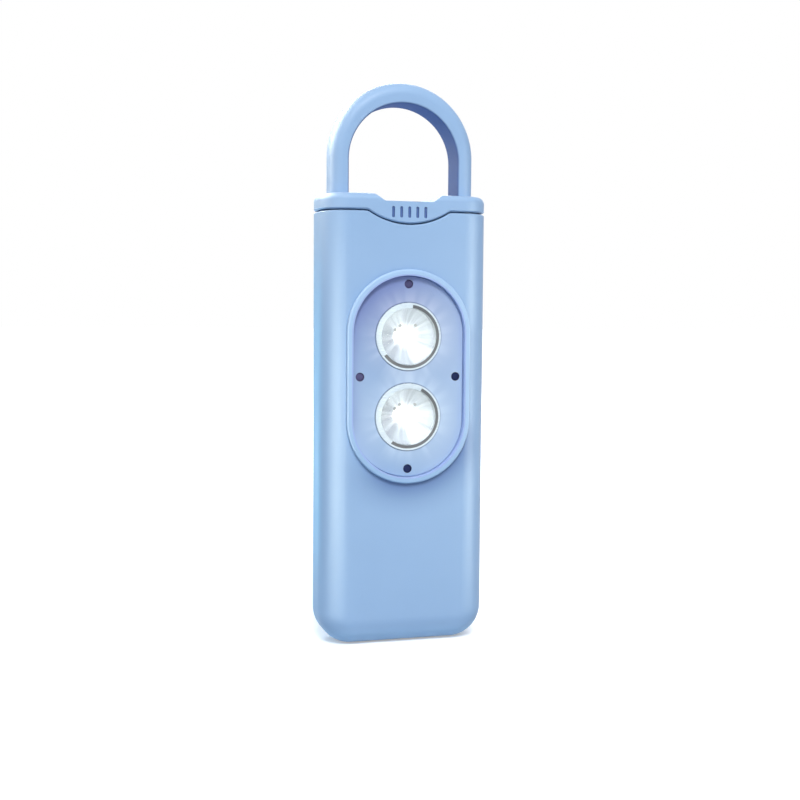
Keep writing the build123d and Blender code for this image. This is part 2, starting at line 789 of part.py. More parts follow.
def cap_seal():
    """Rubber ring round the plug, with bevelled edges."""
    middle = (plug_bottom + plate_top) / 2
    ring = prism(section(wall + seal_fit), middle - seal_section / 2, middle + seal_section / 2)
    ring = chamfer(edges_at(ring, Axis.Z, middle - seal_section / 2), seal_bevel)
    ring = chamfer(edges_at(ring, Axis.Z, middle + seal_section / 2), seal_bevel)
    return ring - prism(section(plug_inset + seal_depth - seal_fit), deck_top, seam_height)


def cap_screws():
    """Two screws that hold the plug plate and the shackle's feet."""
    tip = plate_top + cap_screw_bite
    crown = recess_floor - cap_screw_head_height
    side = Polyline((0, crown), (cap_screw_head, crown), (cap_screw_head, recess_floor),
                    (cap_screw_shank, recess_floor), (cap_screw_shank, tip), (0, tip), close=True)
    return [turned_along_z(side, sign * leg_x, 0) for sign in (-1, 1)]


def arch_area(radius, centre):
    """Front view of an arch filled in: a round top on straight sides that end at the plug plate."""
    sides = Polyline((radius, centre), (radius, plate_top), (-radius, plate_top), (-radius, centre))
    top = ThreePointArc((-radius, centre), (0, centre + radius), (radius, centre))
    return make_face(sides + top)


def shackle():
    """Arch with soft outer edges, whose narrower feet stand on the plug plate."""
    half = shackle_depth / 2
    arch = slab(arch_area(shackle_outer, shackle_top - shackle_outer), -half, half)
    for y in (-half, half):
        rim = [edge for edge in edges_at(arch, Axis.Y, y) if edge.center().Z > plate_top + shackle_leg]
        arch = fillet(rim, shackle_outer_round)
    opening = arch_area(shackle_inner, shackle_top - shackle_crown - shackle_inner)
    arch -= slab(opening, -shackle_depth, shackle_depth)
    for y in (-half, half):
        rim = [edge for edge in edges_at(arch, Axis.Y, y)
               if edge.bounding_box().max.X < shackle_inner + shackle_inner_round
               and edge.bounding_box().min.X > -shackle_inner - shackle_inner_round]
        arch = fillet(rim, shackle_inner_round)
    below = prism(Rectangle(body_width, body_depth), plate_top - overrun, cap_top + shackle_fit)
    for foot in shackle_foot_outline(0):
        below -= prism(foot, plate_top - overrun, cap_top + overrun)
    arch -= below
    for side in (-1, 1):
        arch -= prism(Circle(cap_screw_shank + screw_fit), plate_top - overrun,
                      plate_top + cap_screw_bite + screw_clearance, x=side * leg_x)
    return arch


def save(name, shape):
    """Write one sub-part to its file."""
    solids = shape if isinstance(shape, list) else [shape]
    bodies = [solid for item in solids for solid in item.solids()]
    export_step(bodies[0] if len(bodies) == 1 else Compound(children=bodies), f"parts/{name}.step")


def main():
    """Build every sub-part."""
    os.makedirs("parts", exist_ok=True)
    shell = housing_shell()
    save("front_housing", front_housing(shell))
    save("back_cover", back_cover(shell))
    save("battery_door", battery_door())
    save("face_plate", face_plate())
    for name, height in light_heights.items():
        save(f"light_ring_{name}", light_ring(height))
        save(f"lens_{name}", lens(height))
        save(f"reflector_{name}", reflector(height))
        save(f"led_{name}", led(height))
    save("circuit_board", circuit_board())
    save("case_screws", case_screws())
    save("door_screw", door_screw())
    save("cell_tray", cell_tray())
    save("contact_minus", contact_minus())
    save("contact_plus", contact_plus())
    save("coin_cell_front", coin_cell(cell_front))
    save("coin_cell_back", coin_cell(cell_front + cell_thickness + cell_gap))
    save("siren_disc", siren_disc())
    save("siren_ceramic", siren_ceramic())
    save("siren_gasket", siren_gasket())
    save("siren_chamber", siren_chamber())
    save("siren_leads", siren_leads())
    save("coil_core", coil_core())
    save("coil_winding", coil_winding())
    save("storage_capacitor", capacitor())
    save("driver_chip", driver_chip())
    save("small_parts", small_parts())
    save("switch_case", switch_case())
    save("switch_plunger", switch_plunger())
    save("plunger_spring", plunger_spring())
    save("cap_shell", cap_shell())
    save("plug_plate", plug_plate())
    save("pull_tongue", pull_tongue())
    save("cap_seal", cap_seal())
    save("cap_screws", cap_screws())
    save("shackle", shackle())


main()
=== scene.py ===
import bpy
import json
import math
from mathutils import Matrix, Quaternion, Vector

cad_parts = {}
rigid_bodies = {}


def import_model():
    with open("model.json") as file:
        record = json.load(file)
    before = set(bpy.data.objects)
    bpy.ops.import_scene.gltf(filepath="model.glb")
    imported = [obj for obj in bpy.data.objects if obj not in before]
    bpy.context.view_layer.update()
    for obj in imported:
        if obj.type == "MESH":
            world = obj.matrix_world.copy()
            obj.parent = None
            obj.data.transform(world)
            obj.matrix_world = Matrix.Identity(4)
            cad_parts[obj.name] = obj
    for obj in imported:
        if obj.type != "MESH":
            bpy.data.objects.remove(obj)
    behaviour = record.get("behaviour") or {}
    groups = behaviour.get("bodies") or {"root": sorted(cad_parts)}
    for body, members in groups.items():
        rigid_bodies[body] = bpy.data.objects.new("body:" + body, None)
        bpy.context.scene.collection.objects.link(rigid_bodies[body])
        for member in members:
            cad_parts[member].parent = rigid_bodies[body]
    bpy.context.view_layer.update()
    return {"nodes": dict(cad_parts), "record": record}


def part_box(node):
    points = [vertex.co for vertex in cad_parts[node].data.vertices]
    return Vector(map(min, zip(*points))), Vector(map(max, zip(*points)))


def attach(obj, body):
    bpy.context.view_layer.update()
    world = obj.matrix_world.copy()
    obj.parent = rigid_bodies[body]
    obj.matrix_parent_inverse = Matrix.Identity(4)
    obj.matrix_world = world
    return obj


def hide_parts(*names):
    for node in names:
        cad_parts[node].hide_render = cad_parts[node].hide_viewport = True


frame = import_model()
nodes = frame["nodes"]
mm = 0.001
slack = 0.02 * mm                   # how far off a place a point may lie and still count as there
weld = 0.001 * mm                   # points closer than this are one
flatUnder = 0.2                     # degrees between two faces that count as one
print("frame loaded with", len(nodes), "nodes")


def linear(shade):                  # 0-255 as seen on screen, to what a shader takes
    channels = []
    for value in shade:
        value = value / 255
        channels.append(value / 12.92 if value <= 0.04045 else ((value + 0.055) / 1.055) ** 2.4)
    return (*channels, 1.0)


def deselectAll():
    if bpy.context.object and bpy.context.object.mode != "OBJECT":
        bpy.ops.object.mode_set(mode="OBJECT")
    bpy.ops.object.select_all(action="DESELECT")


def activate(piece):
    deselectAll()
    piece.select_set(True)
    bpy.context.view_layer.objects.active = piece


def settle(piece):                  # its place goes into its mesh
    activate(piece)
    bpy.ops.object.transform_apply(location=True, rotation=True, scale=True)


def pick(piece, kind, wanted):      # leaves the piece in edit mode with those parts of it selected
    activate(piece)
    bpy.ops.object.mode_set(mode="EDIT")
    bpy.ops.mesh.select_mode(type=kind)
    bpy.ops.mesh.select_all(action="DESELECT")
    bpy.ops.object.mode_set(mode="OBJECT")
    mesh = piece.data
    for part in {"FACE": mesh.polygons, "VERT": mesh.vertices, "EDGE": mesh.edges}[kind]:
        part.select = wanted(part)
    bpy.ops.object.mode_set(mode="EDIT")


def pickFaces(piece, wanted):
    pick(piece, "FACE", wanted)


def facesFront(face):
    return face.normal.y < -0.9


def facesBack(face):
    return face.normal.y > 0.9


def pickPoints(piece, wanted):
    pick(piece, "VERT", lambda point: wanted(point.co))


def pickEdges(piece, wanted):       # asks about an edge by its two ends
    pick(piece, "EDGE", lambda edge: wanted(*(piece.data.vertices[end].co for end in edge.vertices)))


def extrude(depth):                 # the faces that are selected, along Y
    bpy.ops.mesh.extrude_region_move(TRANSFORM_OT_translate={"value": (0, depth, 0)})


def stretch(width, height, centre):
    bpy.ops.transform.resize(value=(width, 1, height), center_override=centre)


def addPlug(name, x, z, front, back, radius, sides):    # a cylinder that lies along Y
    deselectAll()
    bpy.ops.mesh.primitive_cylinder_add(vertices=sides, radius=radius, depth=back - front,
                                        location=(x, (front + back) / 2, z), rotation=(math.pi / 2, 0, 0))
    piece = bpy.context.object
    piece.name = name
    settle(piece)
    return piece


def addBar(place, size):
    deselectAll()
    bpy.ops.mesh.primitive_cube_add(size=1, location=place)
    bar = bpy.context.object
    bar.scale = size
    settle(bar)
    return bar


def copyPiece(piece, name, x, z):   # the same piece somewhere else, with a mesh of its own
    activate(piece)
    bpy.ops.object.duplicate()
    copied = bpy.context.object
    copied.name = name
    bpy.ops.transform.translate(value=(x, 0, z))
    settle(copied)
    return copied


def repeatPiece(first, name, places):           # at every other place in mm, each with a mesh of its own
    startX, startZ = places[0]
    pieces = [first]
    for index, (x, z) in enumerate(places[1:], 2):
        pieces.append(copyPiece(first, name + str(index), (x - startX) * mm, (z - startZ) * mm))
    return pieces


def smoothPiece(piece, degrees):    # edges with less than that between their faces
    activate(piece)
    bpy.ops.object.shade_smooth_by_angle(angle=math.radians(degrees))


def dress(piece, materials, body, slot, *replaced):
    piece.data.materials.clear()
    for material in materials:
        piece.data.materials.append(material)
    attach(piece, body)
    if replaced:
        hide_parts(*replaced)


def setInputs(node, values):        # constants, straight on the sockets
    for label, value in values.items():
        node.inputs[label].default_value = value


def feed(tree, value, socket):      # a constant, or what another node gives
    if isinstance(value, (int, float, tuple)):
        socket.default_value = value
    else:
        tree.links.new(value, socket)


def mathNode(tree, operation, *values, clamp=False):
    node = tree.nodes.new("ShaderNodeMath")
    node.operation = operation
    node.use_clamp = clamp
    for value, socket in zip(values, node.inputs):
        feed(tree, value, socket)
    return node.outputs[0]


def times(tree, first, second):
    return mathNode(tree, "MULTIPLY", first, second)


def rampNode(tree, value, low, high, lowOut=0.0, highOut=1.0, smooth=True):
    node = tree.nodes.new("ShaderNodeMapRange")
    node.interpolation_type = "SMOOTHSTEP" if smooth else "LINEAR"
    tree.links.new(value, node.inputs["Value"])
    setInputs(node, {"From Min": low, "From Max": high, "To Min": lowOut, "To Max": highOut})
    return node.outputs["Result"]


def spanNode(tree, value, ends, start=0.0):     # from none to full between two places, in mm from start
    return rampNode(tree, value, *(start + end * mm for end in ends))


def noiseNode(tree, place, scale, detail, roughness):
    node = tree.nodes.new("ShaderNodeTexNoise")
    tree.links.new(place, node.inputs["Vector"])
    feed(tree, scale, node.inputs["Scale"])
    setInputs(node, {"Detail": detail, "Roughness": roughness})
    return node.outputs["Fac"]


def mixColour(tree, factor, *shades):
    node = tree.nodes.new("ShaderNodeMix")
    node.data_type = "RGBA"
    tree.links.new(factor, node.inputs["Factor"])
    for shade, socket in zip(shades, node.inputs[6:8]):     # its two colours
        feed(tree, linear(shade) if isinstance(shade, tuple) else shade, socket)
    return node.outputs[2]


def vectorNode(tree, operation, *values):
    node = tree.nodes.new("ShaderNodeVectorMath")
    node.operation = operation
    for value, socket in zip(values, node.inputs):
        feed(tree, value, socket)
    return node.outputs["Value" if operation in ("LENGTH", "DISTANCE", "DOT_PRODUCT") else "Vector"]


def splitPlace(tree, place):
    node = tree.nodes.new("ShaderNodeSeparateXYZ")
    tree.links.new(place, node.inputs[0])
    return node.outputs


def fromMiddle(tree, place, middle):            # X and Z in mm, from a middle at that height
    parts = splitPlace(tree, place)
    return times(tree, parts["X"], 1 / mm), mathNode(tree, "MULTIPLY_ADD", parts["Z"], 1 / mm, -middle)


def offCentre(tree, x, z):          # distance from the middle, seen from the front
    return mathNode(tree, "SQRT", mathNode(tree, "MULTIPLY_ADD", x, x, times(tree, z, z)))


def mixShaders(tree, factor, first, second):
    node = tree.nodes.new("ShaderNodeMixShader")
    tree.links.new(factor, node.inputs["Fac"])
    tree.links.new(first.outputs[0], node.inputs[1])
    tree.links.new(second.outputs[0], node.inputs[2])
    return node.outputs[0]


def seenDirectly(tree):             # by the camera, through glass or in gloss
    rays = tree.nodes.new("ShaderNodeLightPath")
    direct = mathNode(tree, "MAXIMUM", rays.outputs["Is Camera Ray"], rays.outputs["Is Transmission Ray"])
    return mathNode(tree, "MAXIMUM", direct, rays.outputs["Is Glossy Ray"])


# camera and light
photoView = {
    "target": (0.39, 0.0, 42.85),   # mm, what the picture is centred on
    "distance": 226.17,             # mm
    "yaw": 16.08,                   # degrees, towards the object's left side
    "pitch": 3.99,
    "roll": 0.44,
    "lens": 56.745,
    "sensor": 36.0,
    "clip": (0.005, 10),            # metres
}


def outwards(turn, rise):           # from the object, degrees left of the front and degrees up
    turn, rise = math.radians(turn), math.radians(rise)
    return Vector((-math.sin(turn) * math.cos(rise), -math.cos(turn) * math.cos(rise), math.sin(rise)))


def placeCamera():
    back = outwards(photoView["yaw"], photoView["pitch"])
    roll = Quaternion((0, 0, 1), math.radians(photoView["roll"]))
    deselectAll()
    bpy.ops.object.camera_add(location=Vector(photoView["target"]) * mm + back * photoView["distance"] * mm)
    camera = bpy.context.object
    camera.name = "photoCamera"
    camera.rotation_euler = (back.to_track_quat("Z", "Y") @ roll).to_euler()
    camera.data.sensor_width = photoView["sensor"]
    camera.data.lens = photoView["lens"]
    camera.data.clip_start, camera.data.clip_end = photoView["clip"]
    bpy.context.scene.camera = camera


studio = {
    "roomLight": 0.285,             # light from all round
    "roomTint": (0.84, 0.92, 1.0),
    "lampAim": (0, 0, 0.046),
    "lamps": {  # degrees left of the front, degrees up, metres away, watts, width, height, tint
        "frontLamp": (10, 43, 1.4, 17.6, 0.48, 0.48, (1, 1, 0.98)),
        "topLamp": (0, 80, 0.40, 0.12, 0.26, 0.12, (1, 1, 1)),
        "leftFill": (145, -11, 0.100, 0.034, 0.03, 0.085, (0.0, 0.62, 1.0)),
        "backLamp": (-172, 36, 0.60, 1.45, 0.30, 0.24, (1, 1, 1)),
        "rightBackLamp": (-143, 20, 0.60, 0.10, 0.24, 0.30, (1, 1, 1)),
        "leftPanel": (49, -16, 0.075, 0.184, 0.060, 0.09, (1, 0.96, 0.72)),
        "rightPanel": (-52, -4, 0.075, 0.102, 0.032, 0.09, (1, 0.96, 0.74)),
        "shacklePanel": (117, 43, 0.141, 0.80, 0.14, 0.105, (1, 0.98, 0.86)),
    },
    "shineOnly": ("leftPanel", "rightPanel", "shacklePanel"),   # seen in gloss, without lighting the paint
    "floorSize": 8,                 # metres
    "floorLevel": -0.00005,         # just under the base
    "floorShade": (243, 244, 246),
    "floorBounce": (160, 180, 196),     # what the object is lit by from below
    "floorLift": 0.34,              # so that the bare floor just reads white
    "liftFrom": 0.03,               # metres from the object
    "liftTo": 0.26,
}


def addLamp(name, turn, rise, distance, power, width, height, tint):
    back = outwards(turn, rise)
    deselectAll()
    bpy.ops.object.light_add(type="AREA", location=Vector(studio["lampAim"]) + back * distance)
    lamp = bpy.context.object
    lamp.name = name
    lamp.data.shape = "RECTANGLE"
    lamp.data.size = width
    lamp.data.size_y = height
    lamp.data.energy = power
    lamp.data.color = tint
    lamp.visible_camera = False
    lamp.visible_diffuse = name not in studio["shineOnly"]
    lamp.rotation_euler = back.to_track_quat("Z", "Y").to_euler()


def lightRoom():
    world = bpy.data.worlds.new("studioRoom")
    bpy.context.scene.world = world
    world.use_nodes = True
    tree = world.node_tree
    tree.nodes.clear()
    soft = tree.nodes.new("ShaderNodeBackground")
    setInputs(soft, {"Color": (*studio["roomTint"], 1), "Strength": studio["roomLight"]})
    white = tree.nodes.new("ShaderNodeBackground")
    setInputs(white, {"Color": (1, 1, 1, 1), "Strength": 1.0})
    out = tree.nodes.new("ShaderNodeOutputWorld")
    tree.links.new(mixShaders(tree, seenDirectly(tree), soft, white), out.inputs["Surface"])
    for name, values in studio["lamps"].items():
        addLamp(name, *values)


def layFloor():
    deselectAll()
    bpy.ops.mesh.primitive_plane_add(size=studio["floorSize"], location=(0, 0, studio["floorLevel"]))
    floor = bpy.context.object
    floor.name = "studioFloor"
    paint = bpy.data.materials.new("floorPaint")
    paint.use_nodes = True
    tree = paint.node_tree
    tree.nodes.clear()
    seen = tree.nodes.new("ShaderNodeBsdfDiffuse")
    seen.inputs["Color"].default_value = linear(studio["floorShade"])
    bounced = tree.nodes.new("ShaderNodeBsdfDiffuse")
    bounced.inputs["Color"].default_value = linear(studio["floorBounce"])
    place = tree.nodes.new("ShaderNodeTexCoord")
    away = vectorNode(tree, "LENGTH", place.outputs["Object"])
    lift = tree.nodes.new("ShaderNodeEmission")
    strength = rampNode(tree, away, studio["liftFrom"], studio["liftTo"], studio["floorLift"], 1.0)
    tree.links.new(strength, lift.inputs["Strength"])
    lifted = tree.nodes.new("ShaderNodeAddShader")
    tree.links.new(seen.outputs[0], lifted.inputs[0])
    tree.links.new(lift.outputs[0], lifted.inputs[1])
    out = tree.nodes.new("ShaderNodeOutputMaterial")
    tree.links.new(mixShaders(tree, seenDirectly(tree), bounced, lifted), out.inputs["Surface"])
    floor.data.materials.append(paint)


bpy.context.scene.view_settings.view_transform = "Standard"
placeCamera()
lightRoom()
layFloor()
print("camera, lamps and floor placed")


effectLook = {
    "waves": 170.0,                 # noise scales, per metre
    "patches": 55.0,
    "rubbed": 900.0,
    "dusty": 700.0,
    "worn": (0.99, 0.86),           # how well the two normals agree, from unworn to worn
    "rubbedShare": (0.42, 0.62),
    "hollow": (0.85, 0.35),         # how open a place is, from clean to dusty
    "wander": (0.3, 0.7),           # the stretch of a noise that is used
}


# effects that several finishes share
def newGroup(name, outputs, **inputs):
    group = bpy.data.node_groups.new(name, "ShaderNodeTree")
    group.interface.new_socket("Vector", in_out="INPUT", socket_type="NodeSocketVector")
    for label, value in inputs.items():
        socket = group.interface.new_socket(label.capitalize(), in_out="INPUT", socket_type="NodeSocketFloat")
        socket.default_value = value
    for label in outputs:
        group.interface.new_socket(label, in_out="OUTPUT", socket_type="NodeSocketFloat")
    return group, group.nodes.new("NodeGroupInput").outputs, group.nodes.new("NodeGroupOutput").inputs


def makeGrainEffect():              # fine moulded grain, slow waviness and a little unevenness in tone
    group, given, made = newGroup("mouldedGrain", ("Height", "Tone", "Gloss"), size=0.0002, waviness=0.3)
    fine = noiseNode(group, given["Vector"], mathNode(group, "DIVIDE", 1.0, given["Size"]), 3.0, 0.6)
    slow = noiseNode(group, given["Vector"], effectLook["waves"], 2.0, 0.5)
    patches = noiseNode(group, given["Vector"], effectLook["patches"], 3.0, 0.55)
    swell = times(group, slow, given["Waviness"])
    group.links.new(mathNode(group, "ADD", fine, swell), made["Height"])
    group.links.new(rampNode(group, patches, *effectLook["wander"]), made["Tone"])
    group.links.new(mathNode(group, "MULTIPLY_ADD", fine, 0.5, times(group, slow, 0.5)), made["Gloss"])
    return group


def makeWearEffect():               # rubbed corners, found where the rounded normal leaves the true one
    group, given, made = newGroup("edgeWear", ("Mask",), radius=0.0004, amount=0.5)
    rounded = group.nodes.new("ShaderNodeBevel")
    rounded.samples = 4
    group.links.new(given["Radius"], rounded.inputs["Radius"])
    true = group.nodes.new("ShaderNodeNewGeometry")
    closeness = vectorNode(group, "DOT_PRODUCT", rounded.outputs["Normal"], true.outputs["Normal"])
    edge = rampNode(group, closeness, *effectLook["worn"])
    spots = noiseNode(group, given["Vector"], effectLook["rubbed"], 4.0, 0.6)
    rubbed = rampNode(group, spots, *effectLook["rubbedShare"])
    group.links.new(times(group, times(group, edge, rubbed), given["Amount"]), made["Mask"])
    return group


def makeDustAndShadeEffect():               # dust and grime that settle in corners; on the blue shell the same mask is painted shade in corners
    group, given, made = newGroup("cornerDustAndShade", ("Mask",), reach=0.0012, amount=0.4)
    shelter = group.nodes.new("ShaderNodeAmbientOcclusion")
    shelter.samples = 6
    shelter.only_local = True
    group.links.new(given["Reach"], shelter.inputs["Distance"])
    hollow = rampNode(group, shelter.outputs["AO"], *effectLook["hollow"])
    spots = noiseNode(group, given["Vector"], effectLook["dusty"], 3.0, 0.6)
    patchy = rampNode(group, spots, *effectLook["wander"], 0.5, 1.0)
    group.links.new(times(group, times(group, hollow, patchy), given["Amount"]), made["Mask"])
    return group


def makeBrushEffect():              # lines left by rolling or turning, along X, or round a centre
    group, given, made = newGroup("brushedLines", ("Height", "Gloss"), pitch=0.00008, stretch=40.0, round=0.0)
    x, y, z = splitPlace(group, given["Vector"])
    turned = given["Round"]
    straight = mathNode(group, "SUBTRACT", 1.0, turned)
    across = mathNode(group, "ADD", times(group, offCentre(group, x, z), turned), times(group, z, straight))
    along = mathNode(group, "DIVIDE", mathNode(group, "ADD", x, y), given["Stretch"])
    spread = group.nodes.new("ShaderNodeCombineXYZ")
    group.links.new(across, spread.inputs[0])
    group.links.new(times(group, along, straight), spread.inputs[1])
    scale = mathNode(group, "DIVIDE", 1.0, given["Pitch"])
    lines = noiseNode(group, spread.outputs[0], scale, 2.0, 0.6)
    group.links.new(lines, made["Height"])
    group.links.new(rampNode(group, lines, *effectLook["wander"]), made["Gloss"])
    return group


grainEffect = makeGrainEffect()
wearEffect = makeWearEffect()
dustAndShadeEffect = makeDustAndShadeEffect()
brushEffect = makeBrushEffect()
print("shared effects built")


def newFinish(name):
    material = bpy.data.materials.new(name)
    material.use_nodes = True
    tree = material.node_tree
    place = tree.nodes.new("ShaderNodeTexCoord")
    return material, tree, tree.nodes["Principled BSDF"], place.outputs["Object"]


def useEffect(tree, effect, place, **values):
    node = tree.nodes.new("ShaderNodeGroup")
    node.node_tree = effect
    tree.links.new(place, node.inputs["Vector"])
    for label, value in values.items():
        node.inputs[label.capitalize()].default_value = value
    return node.outputs


def raiseSurface(tree, shader, height, depth):      # depth in mm
    bump = tree.nodes.new("ShaderNodeBump")
    setInputs(bump, {"Distance": depth * mm, "Strength": 1.0})
    tree.links.new(height, bump.inputs["Height"])
    tree.links.new(bump.outputs[0], shader.inputs["Normal"])


def wanderingGloss(tree, grain, low, high):         # roughness that wanders with the grain
    return rampNode(tree, grain["Gloss"], *effectLook["wander"], low, high)


soundHoles = {                      # mm
    "places": ((0, 63.453), (0, 31.253), (-8.65, 47.353), (8.65, 47.353)),
    "radius": 0.77,
    "edge": (1.01, 0.99),           # where the hole's dark starts and where it is full, as shares of that
    # painted shade inside the sound holes, plum above and navy low down
    "plum": (72, 62, 104),
    "navy": (28, 34, 78),
    "plumAbove": (34, 44),          # above the base, where navy ends and plum is full
    "feltRadius": 0.72,
    "feltDepth": 0.22,              # below the plate's face
    "feltThickness": 0.3,
    "feltStep": 0.35,               # width of each of the face's two steps, as a share of its radius
    "feltHollow": (0.12, 0.05),     # and their depths
    # the navy felts are darker: painted shade
    "feltShades": ("plum", "navy", "plum", "navy"),
    "feltSides": 32,
    "smoothUnder": 60,              # degrees between two faces
}


def holeMask(tree, place):          # one inside the sound holes, and the painted shade that they get at this height
    flat = vectorNode(tree, "MULTIPLY", place, (1, 0, 1))
    nearest = None
    for x, z in soundHoles["places"]:
        gap = vectorNode(tree, "DISTANCE", flat, (x * mm, 0, z * mm))
        nearest = mathNode(tree, "MINIMUM", nearest, gap) if nearest else gap
    radius = soundHoles["radius"] * mm
    upwards = spanNode(tree, splitPlace(tree, place)["Z"], soundHoles["plumAbove"])
    shade = mixColour(tree, upwards, soundHoles["navy"], soundHoles["plum"])
    return rampNode(tree, nearest, *(radius * share for share in soundHoles["edge"])), shade


bezelOval = {                       # mm
    "middle": 47.353,
    "halfStraight": 7.5,
    "fall": 2.1,                    # how quickly the painted shadow beside it thins out
    "facing": (0.1, 0.9),           # how squarely a place lies towards the shadowed side, from none to full
}


def ovalShade(tree, place, look):   # how deep the painted shadow is beside the bezel's oval, and how far off that oval
    x, z = fromMiddle(tree, place, bezelOval["middle"])
    half = bezelOval["halfStraight"]
    z = mathNode(tree, "SUBTRACT", z, mathNode(tree, "MAXIMUM", mathNode(tree, "MINIMUM", z, half), -half))
    away = offCentre(tree, x, z)
    toX, toZ = look["towards"]
    facing = mathNode(tree, "MULTIPLY_ADD", x, toX, times(tree, z, toZ))
    facing = rampNode(tree, mathNode(tree, "DIVIDE", facing, away), *bezelOval["facing"])
    depth = rampNode(tree, away, look["inner"], look["outer"], smooth=False)
    depth = times(tree, mathNode(tree, "POWER", depth, bezelOval["fall"]), facing)
    return times(tree, depth, look["strength"]), away


shackleShade = {                    # painted shade on the inner side of the shackle, mm
    "middle": 85.0,                 # height of the bow's centre
    "radius": 9.9,
    "reach": 0.35,
    "strength": 0.90,
    "shade": (36, 72, 140),
}


def shackleInnerShade(tree, place):
    x, z = fromMiddle(tree, place, shackleShade["middle"])
    away = offCentre(tree, x, mathNode(tree, "MAXIMUM", z, 0.0))
    depth = rampNode(tree, away, shackleShade["radius"] + shackleShade["reach"], shackleShade["radius"])
    return times(tree, depth, shackleShade["strength"])


shellPaint = {
    "blue": (150, 180, 216),
    "deeper": 3,                    # how much darker its patches are, of 255
    "rimBlue": (166, 195, 228),     # painted highlight: the bezel's rim, a shade lighter
    "rimFoot": (150, 182, 219),     # and the lowest stretch of it, with less of that painted highlight
    "rimWall": (158, 178, 224),     # its inner side, down to the plate, lightened: painted light
    "rimWallAway": 10.3,            # mm from the oval's middle line
    "rimDepth": (0.6, 0.1),         # mm behind the rim's face, where its paint starts and where it is full
    "frontDepth": (2, 1.2),         # the same for what stands on the front at all
    "rimFootTo": (30, 42),          # mm above the base, from rimFoot to rimBlue
    "foot": (188, 219, 251),        # the rounding at the very bottom, paler than the rest: painted light
    "footReach": (4.2, 0.7),        # mm above the base, where it starts and where it is full
    "roughness": 0.46,
    "shine": 0.30,                  # specular level
    "coat": 0.02,
    "coatRoughness": 0.34,
    "grainSize": 0.22,              # mm
    "grainDepth": 0.0035,           # mm
    "wear": 0.08,
    # the shell's corners in a deeper blue: painted shade, deeper and wider on the housing
    "dustAndShadeColour": (96, 128, 176),
    "dust": (0.16, 1.2),            # how much, and how far it reaches from a corner in mm
    "housingCornerShade": (0.45, 2.6),
}

rimShade = {                        # painted shadow under the bezel, mm
    "inner": 18.4, "outer": 11.15,  # from the oval's middle line: none there, deepest here
    "strength": 0.92,
    "shade": (70, 102, 158),
    "towards": (0.35, -0.94),       # x and z, where it is deepest
}


def paintRim(tree, place, body):    # the bezel's rim stands in front of everything else; painted highlight on it, painted light on its inner wall, painted shadow below it
    look = shellPaint
    parts = splitPlace(tree, place)
    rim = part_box("front_housing")[0].y
    raised = spanNode(tree, parts["Y"], look["rimDepth"], rim)
    upwards = spanNode(tree, parts["Z"], look["rimFootTo"])
    body = mixColour(tree, raised, body, mixColour(tree, upwards, look["rimFoot"], look["rimBlue"]))
    front = spanNode(tree, parts["Y"], look["frontDepth"], rim)
    # painted shadow under the bezel's rim, deepest towards the lower right
    grimeAndShadow, away = ovalShade(tree, place, rimShade)
    wall = times(tree, front, mathNode(tree, "LESS_THAN", away, look["rimWallAway"]))
    body = mixColour(tree, wall, body, look["rimWall"])
    outside = mathNode(tree, "GREATER_THAN", away, rimShade["outer"] - slack / mm)
    grimeAndShadow = times(tree, grimeAndShadow, times(tree, front, outside))
    return mixColour(tree, grimeAndShadow, body, rimShade["shade"])


plasticAge = {
    "paler": 34,                    # rubbed edges, of 255
    "polished": -0.10,              # what rubbing does to the roughness
    "dusty": 0.25,                  # and what the corner mask does to it: dust, and painted shade on the shell
    "shadedRougher": 0.4,                   # and the painted shade inside the shackle
    "uneven": 0.04,
}


def plasticFinish(name, shade, deeper, roughness, grainSize=0.2, grainDepth=0.004,
                  dustAndShadeColour=(196, 198, 200), wear=0.25, dust=0.25, dustReach=1.2, shine=0.5, coat=0.0,
                  coatRoughness=0.2, foot=None, housing=False, shackle=False):
    material, tree, shader, place = newFinish(name)
    setInputs(shader, {"Specular IOR Level": shine, "Coat Weight": coat, "Coat Roughness": coatRoughness})
    grain = useEffect(tree, grainEffect, place, size=grainSize * mm, waviness=0.6)
    rubbed = useEffect(tree, wearEffect, place, amount=wear)
    dustAndShadeMask = useEffect(tree, dustAndShadeEffect, place, amount=dust, reach=dustReach * mm)
    body = mixColour(tree, grain["Tone"], shade, deeper)
    # painted light: the bottom rounding is made paler
    if foot:
        low = spanNode(tree, splitPlace(tree, place)["Z"], shellPaint["footReach"])
        body = mixColour(tree, low, body, foot)
    if housing:
        body = paintRim(tree, place, body)
    if shackle:
        # painted shade on the shackle's inner side
        innerShade = shackleInnerShade(tree, place)
        body = mixColour(tree, innerShade, body, shackleShade["shade"])
        tree.links.new(mathNode(tree, "MULTIPLY_ADD", innerShade, -coat, coat), shader.inputs["Coat Weight"])
    paler = tuple(min(255, channel + plasticAge["paler"]) for channel in shade)
    body = mixColour(tree, rubbed["Mask"], body, paler)
    # dust in corners; on the blue shell, painted shade in corners
    body = mixColour(tree, dustAndShadeMask["Mask"], body, dustAndShadeColour)
    if housing:
        # painted shade inside the sound holes
        inside, dark = holeMask(tree, place)
        body = mixColour(tree, inside, body, dark)
    tree.links.new(body, shader.inputs["Base Color"])
    gloss = wanderingGloss(tree, grain, roughness - plasticAge["uneven"], roughness + plasticAge["uneven"])
    gloss = mathNode(tree, "ADD", gloss, times(tree, rubbed["Mask"], plasticAge["polished"]))
    gloss = mathNode(tree, "ADD", gloss, times(tree, dustAndShadeMask["Mask"], plasticAge["dusty"]), clamp=True)
    if shackle:
        gloss = mathNode(tree, "MULTIPLY_ADD", innerShade, plasticAge["shadedRougher"], gloss, clamp=True)
    tree.links.new(gloss, shader.inputs["Roughness"])
    raiseSurface(tree, shader, grain["Height"], grainDepth)
    return material


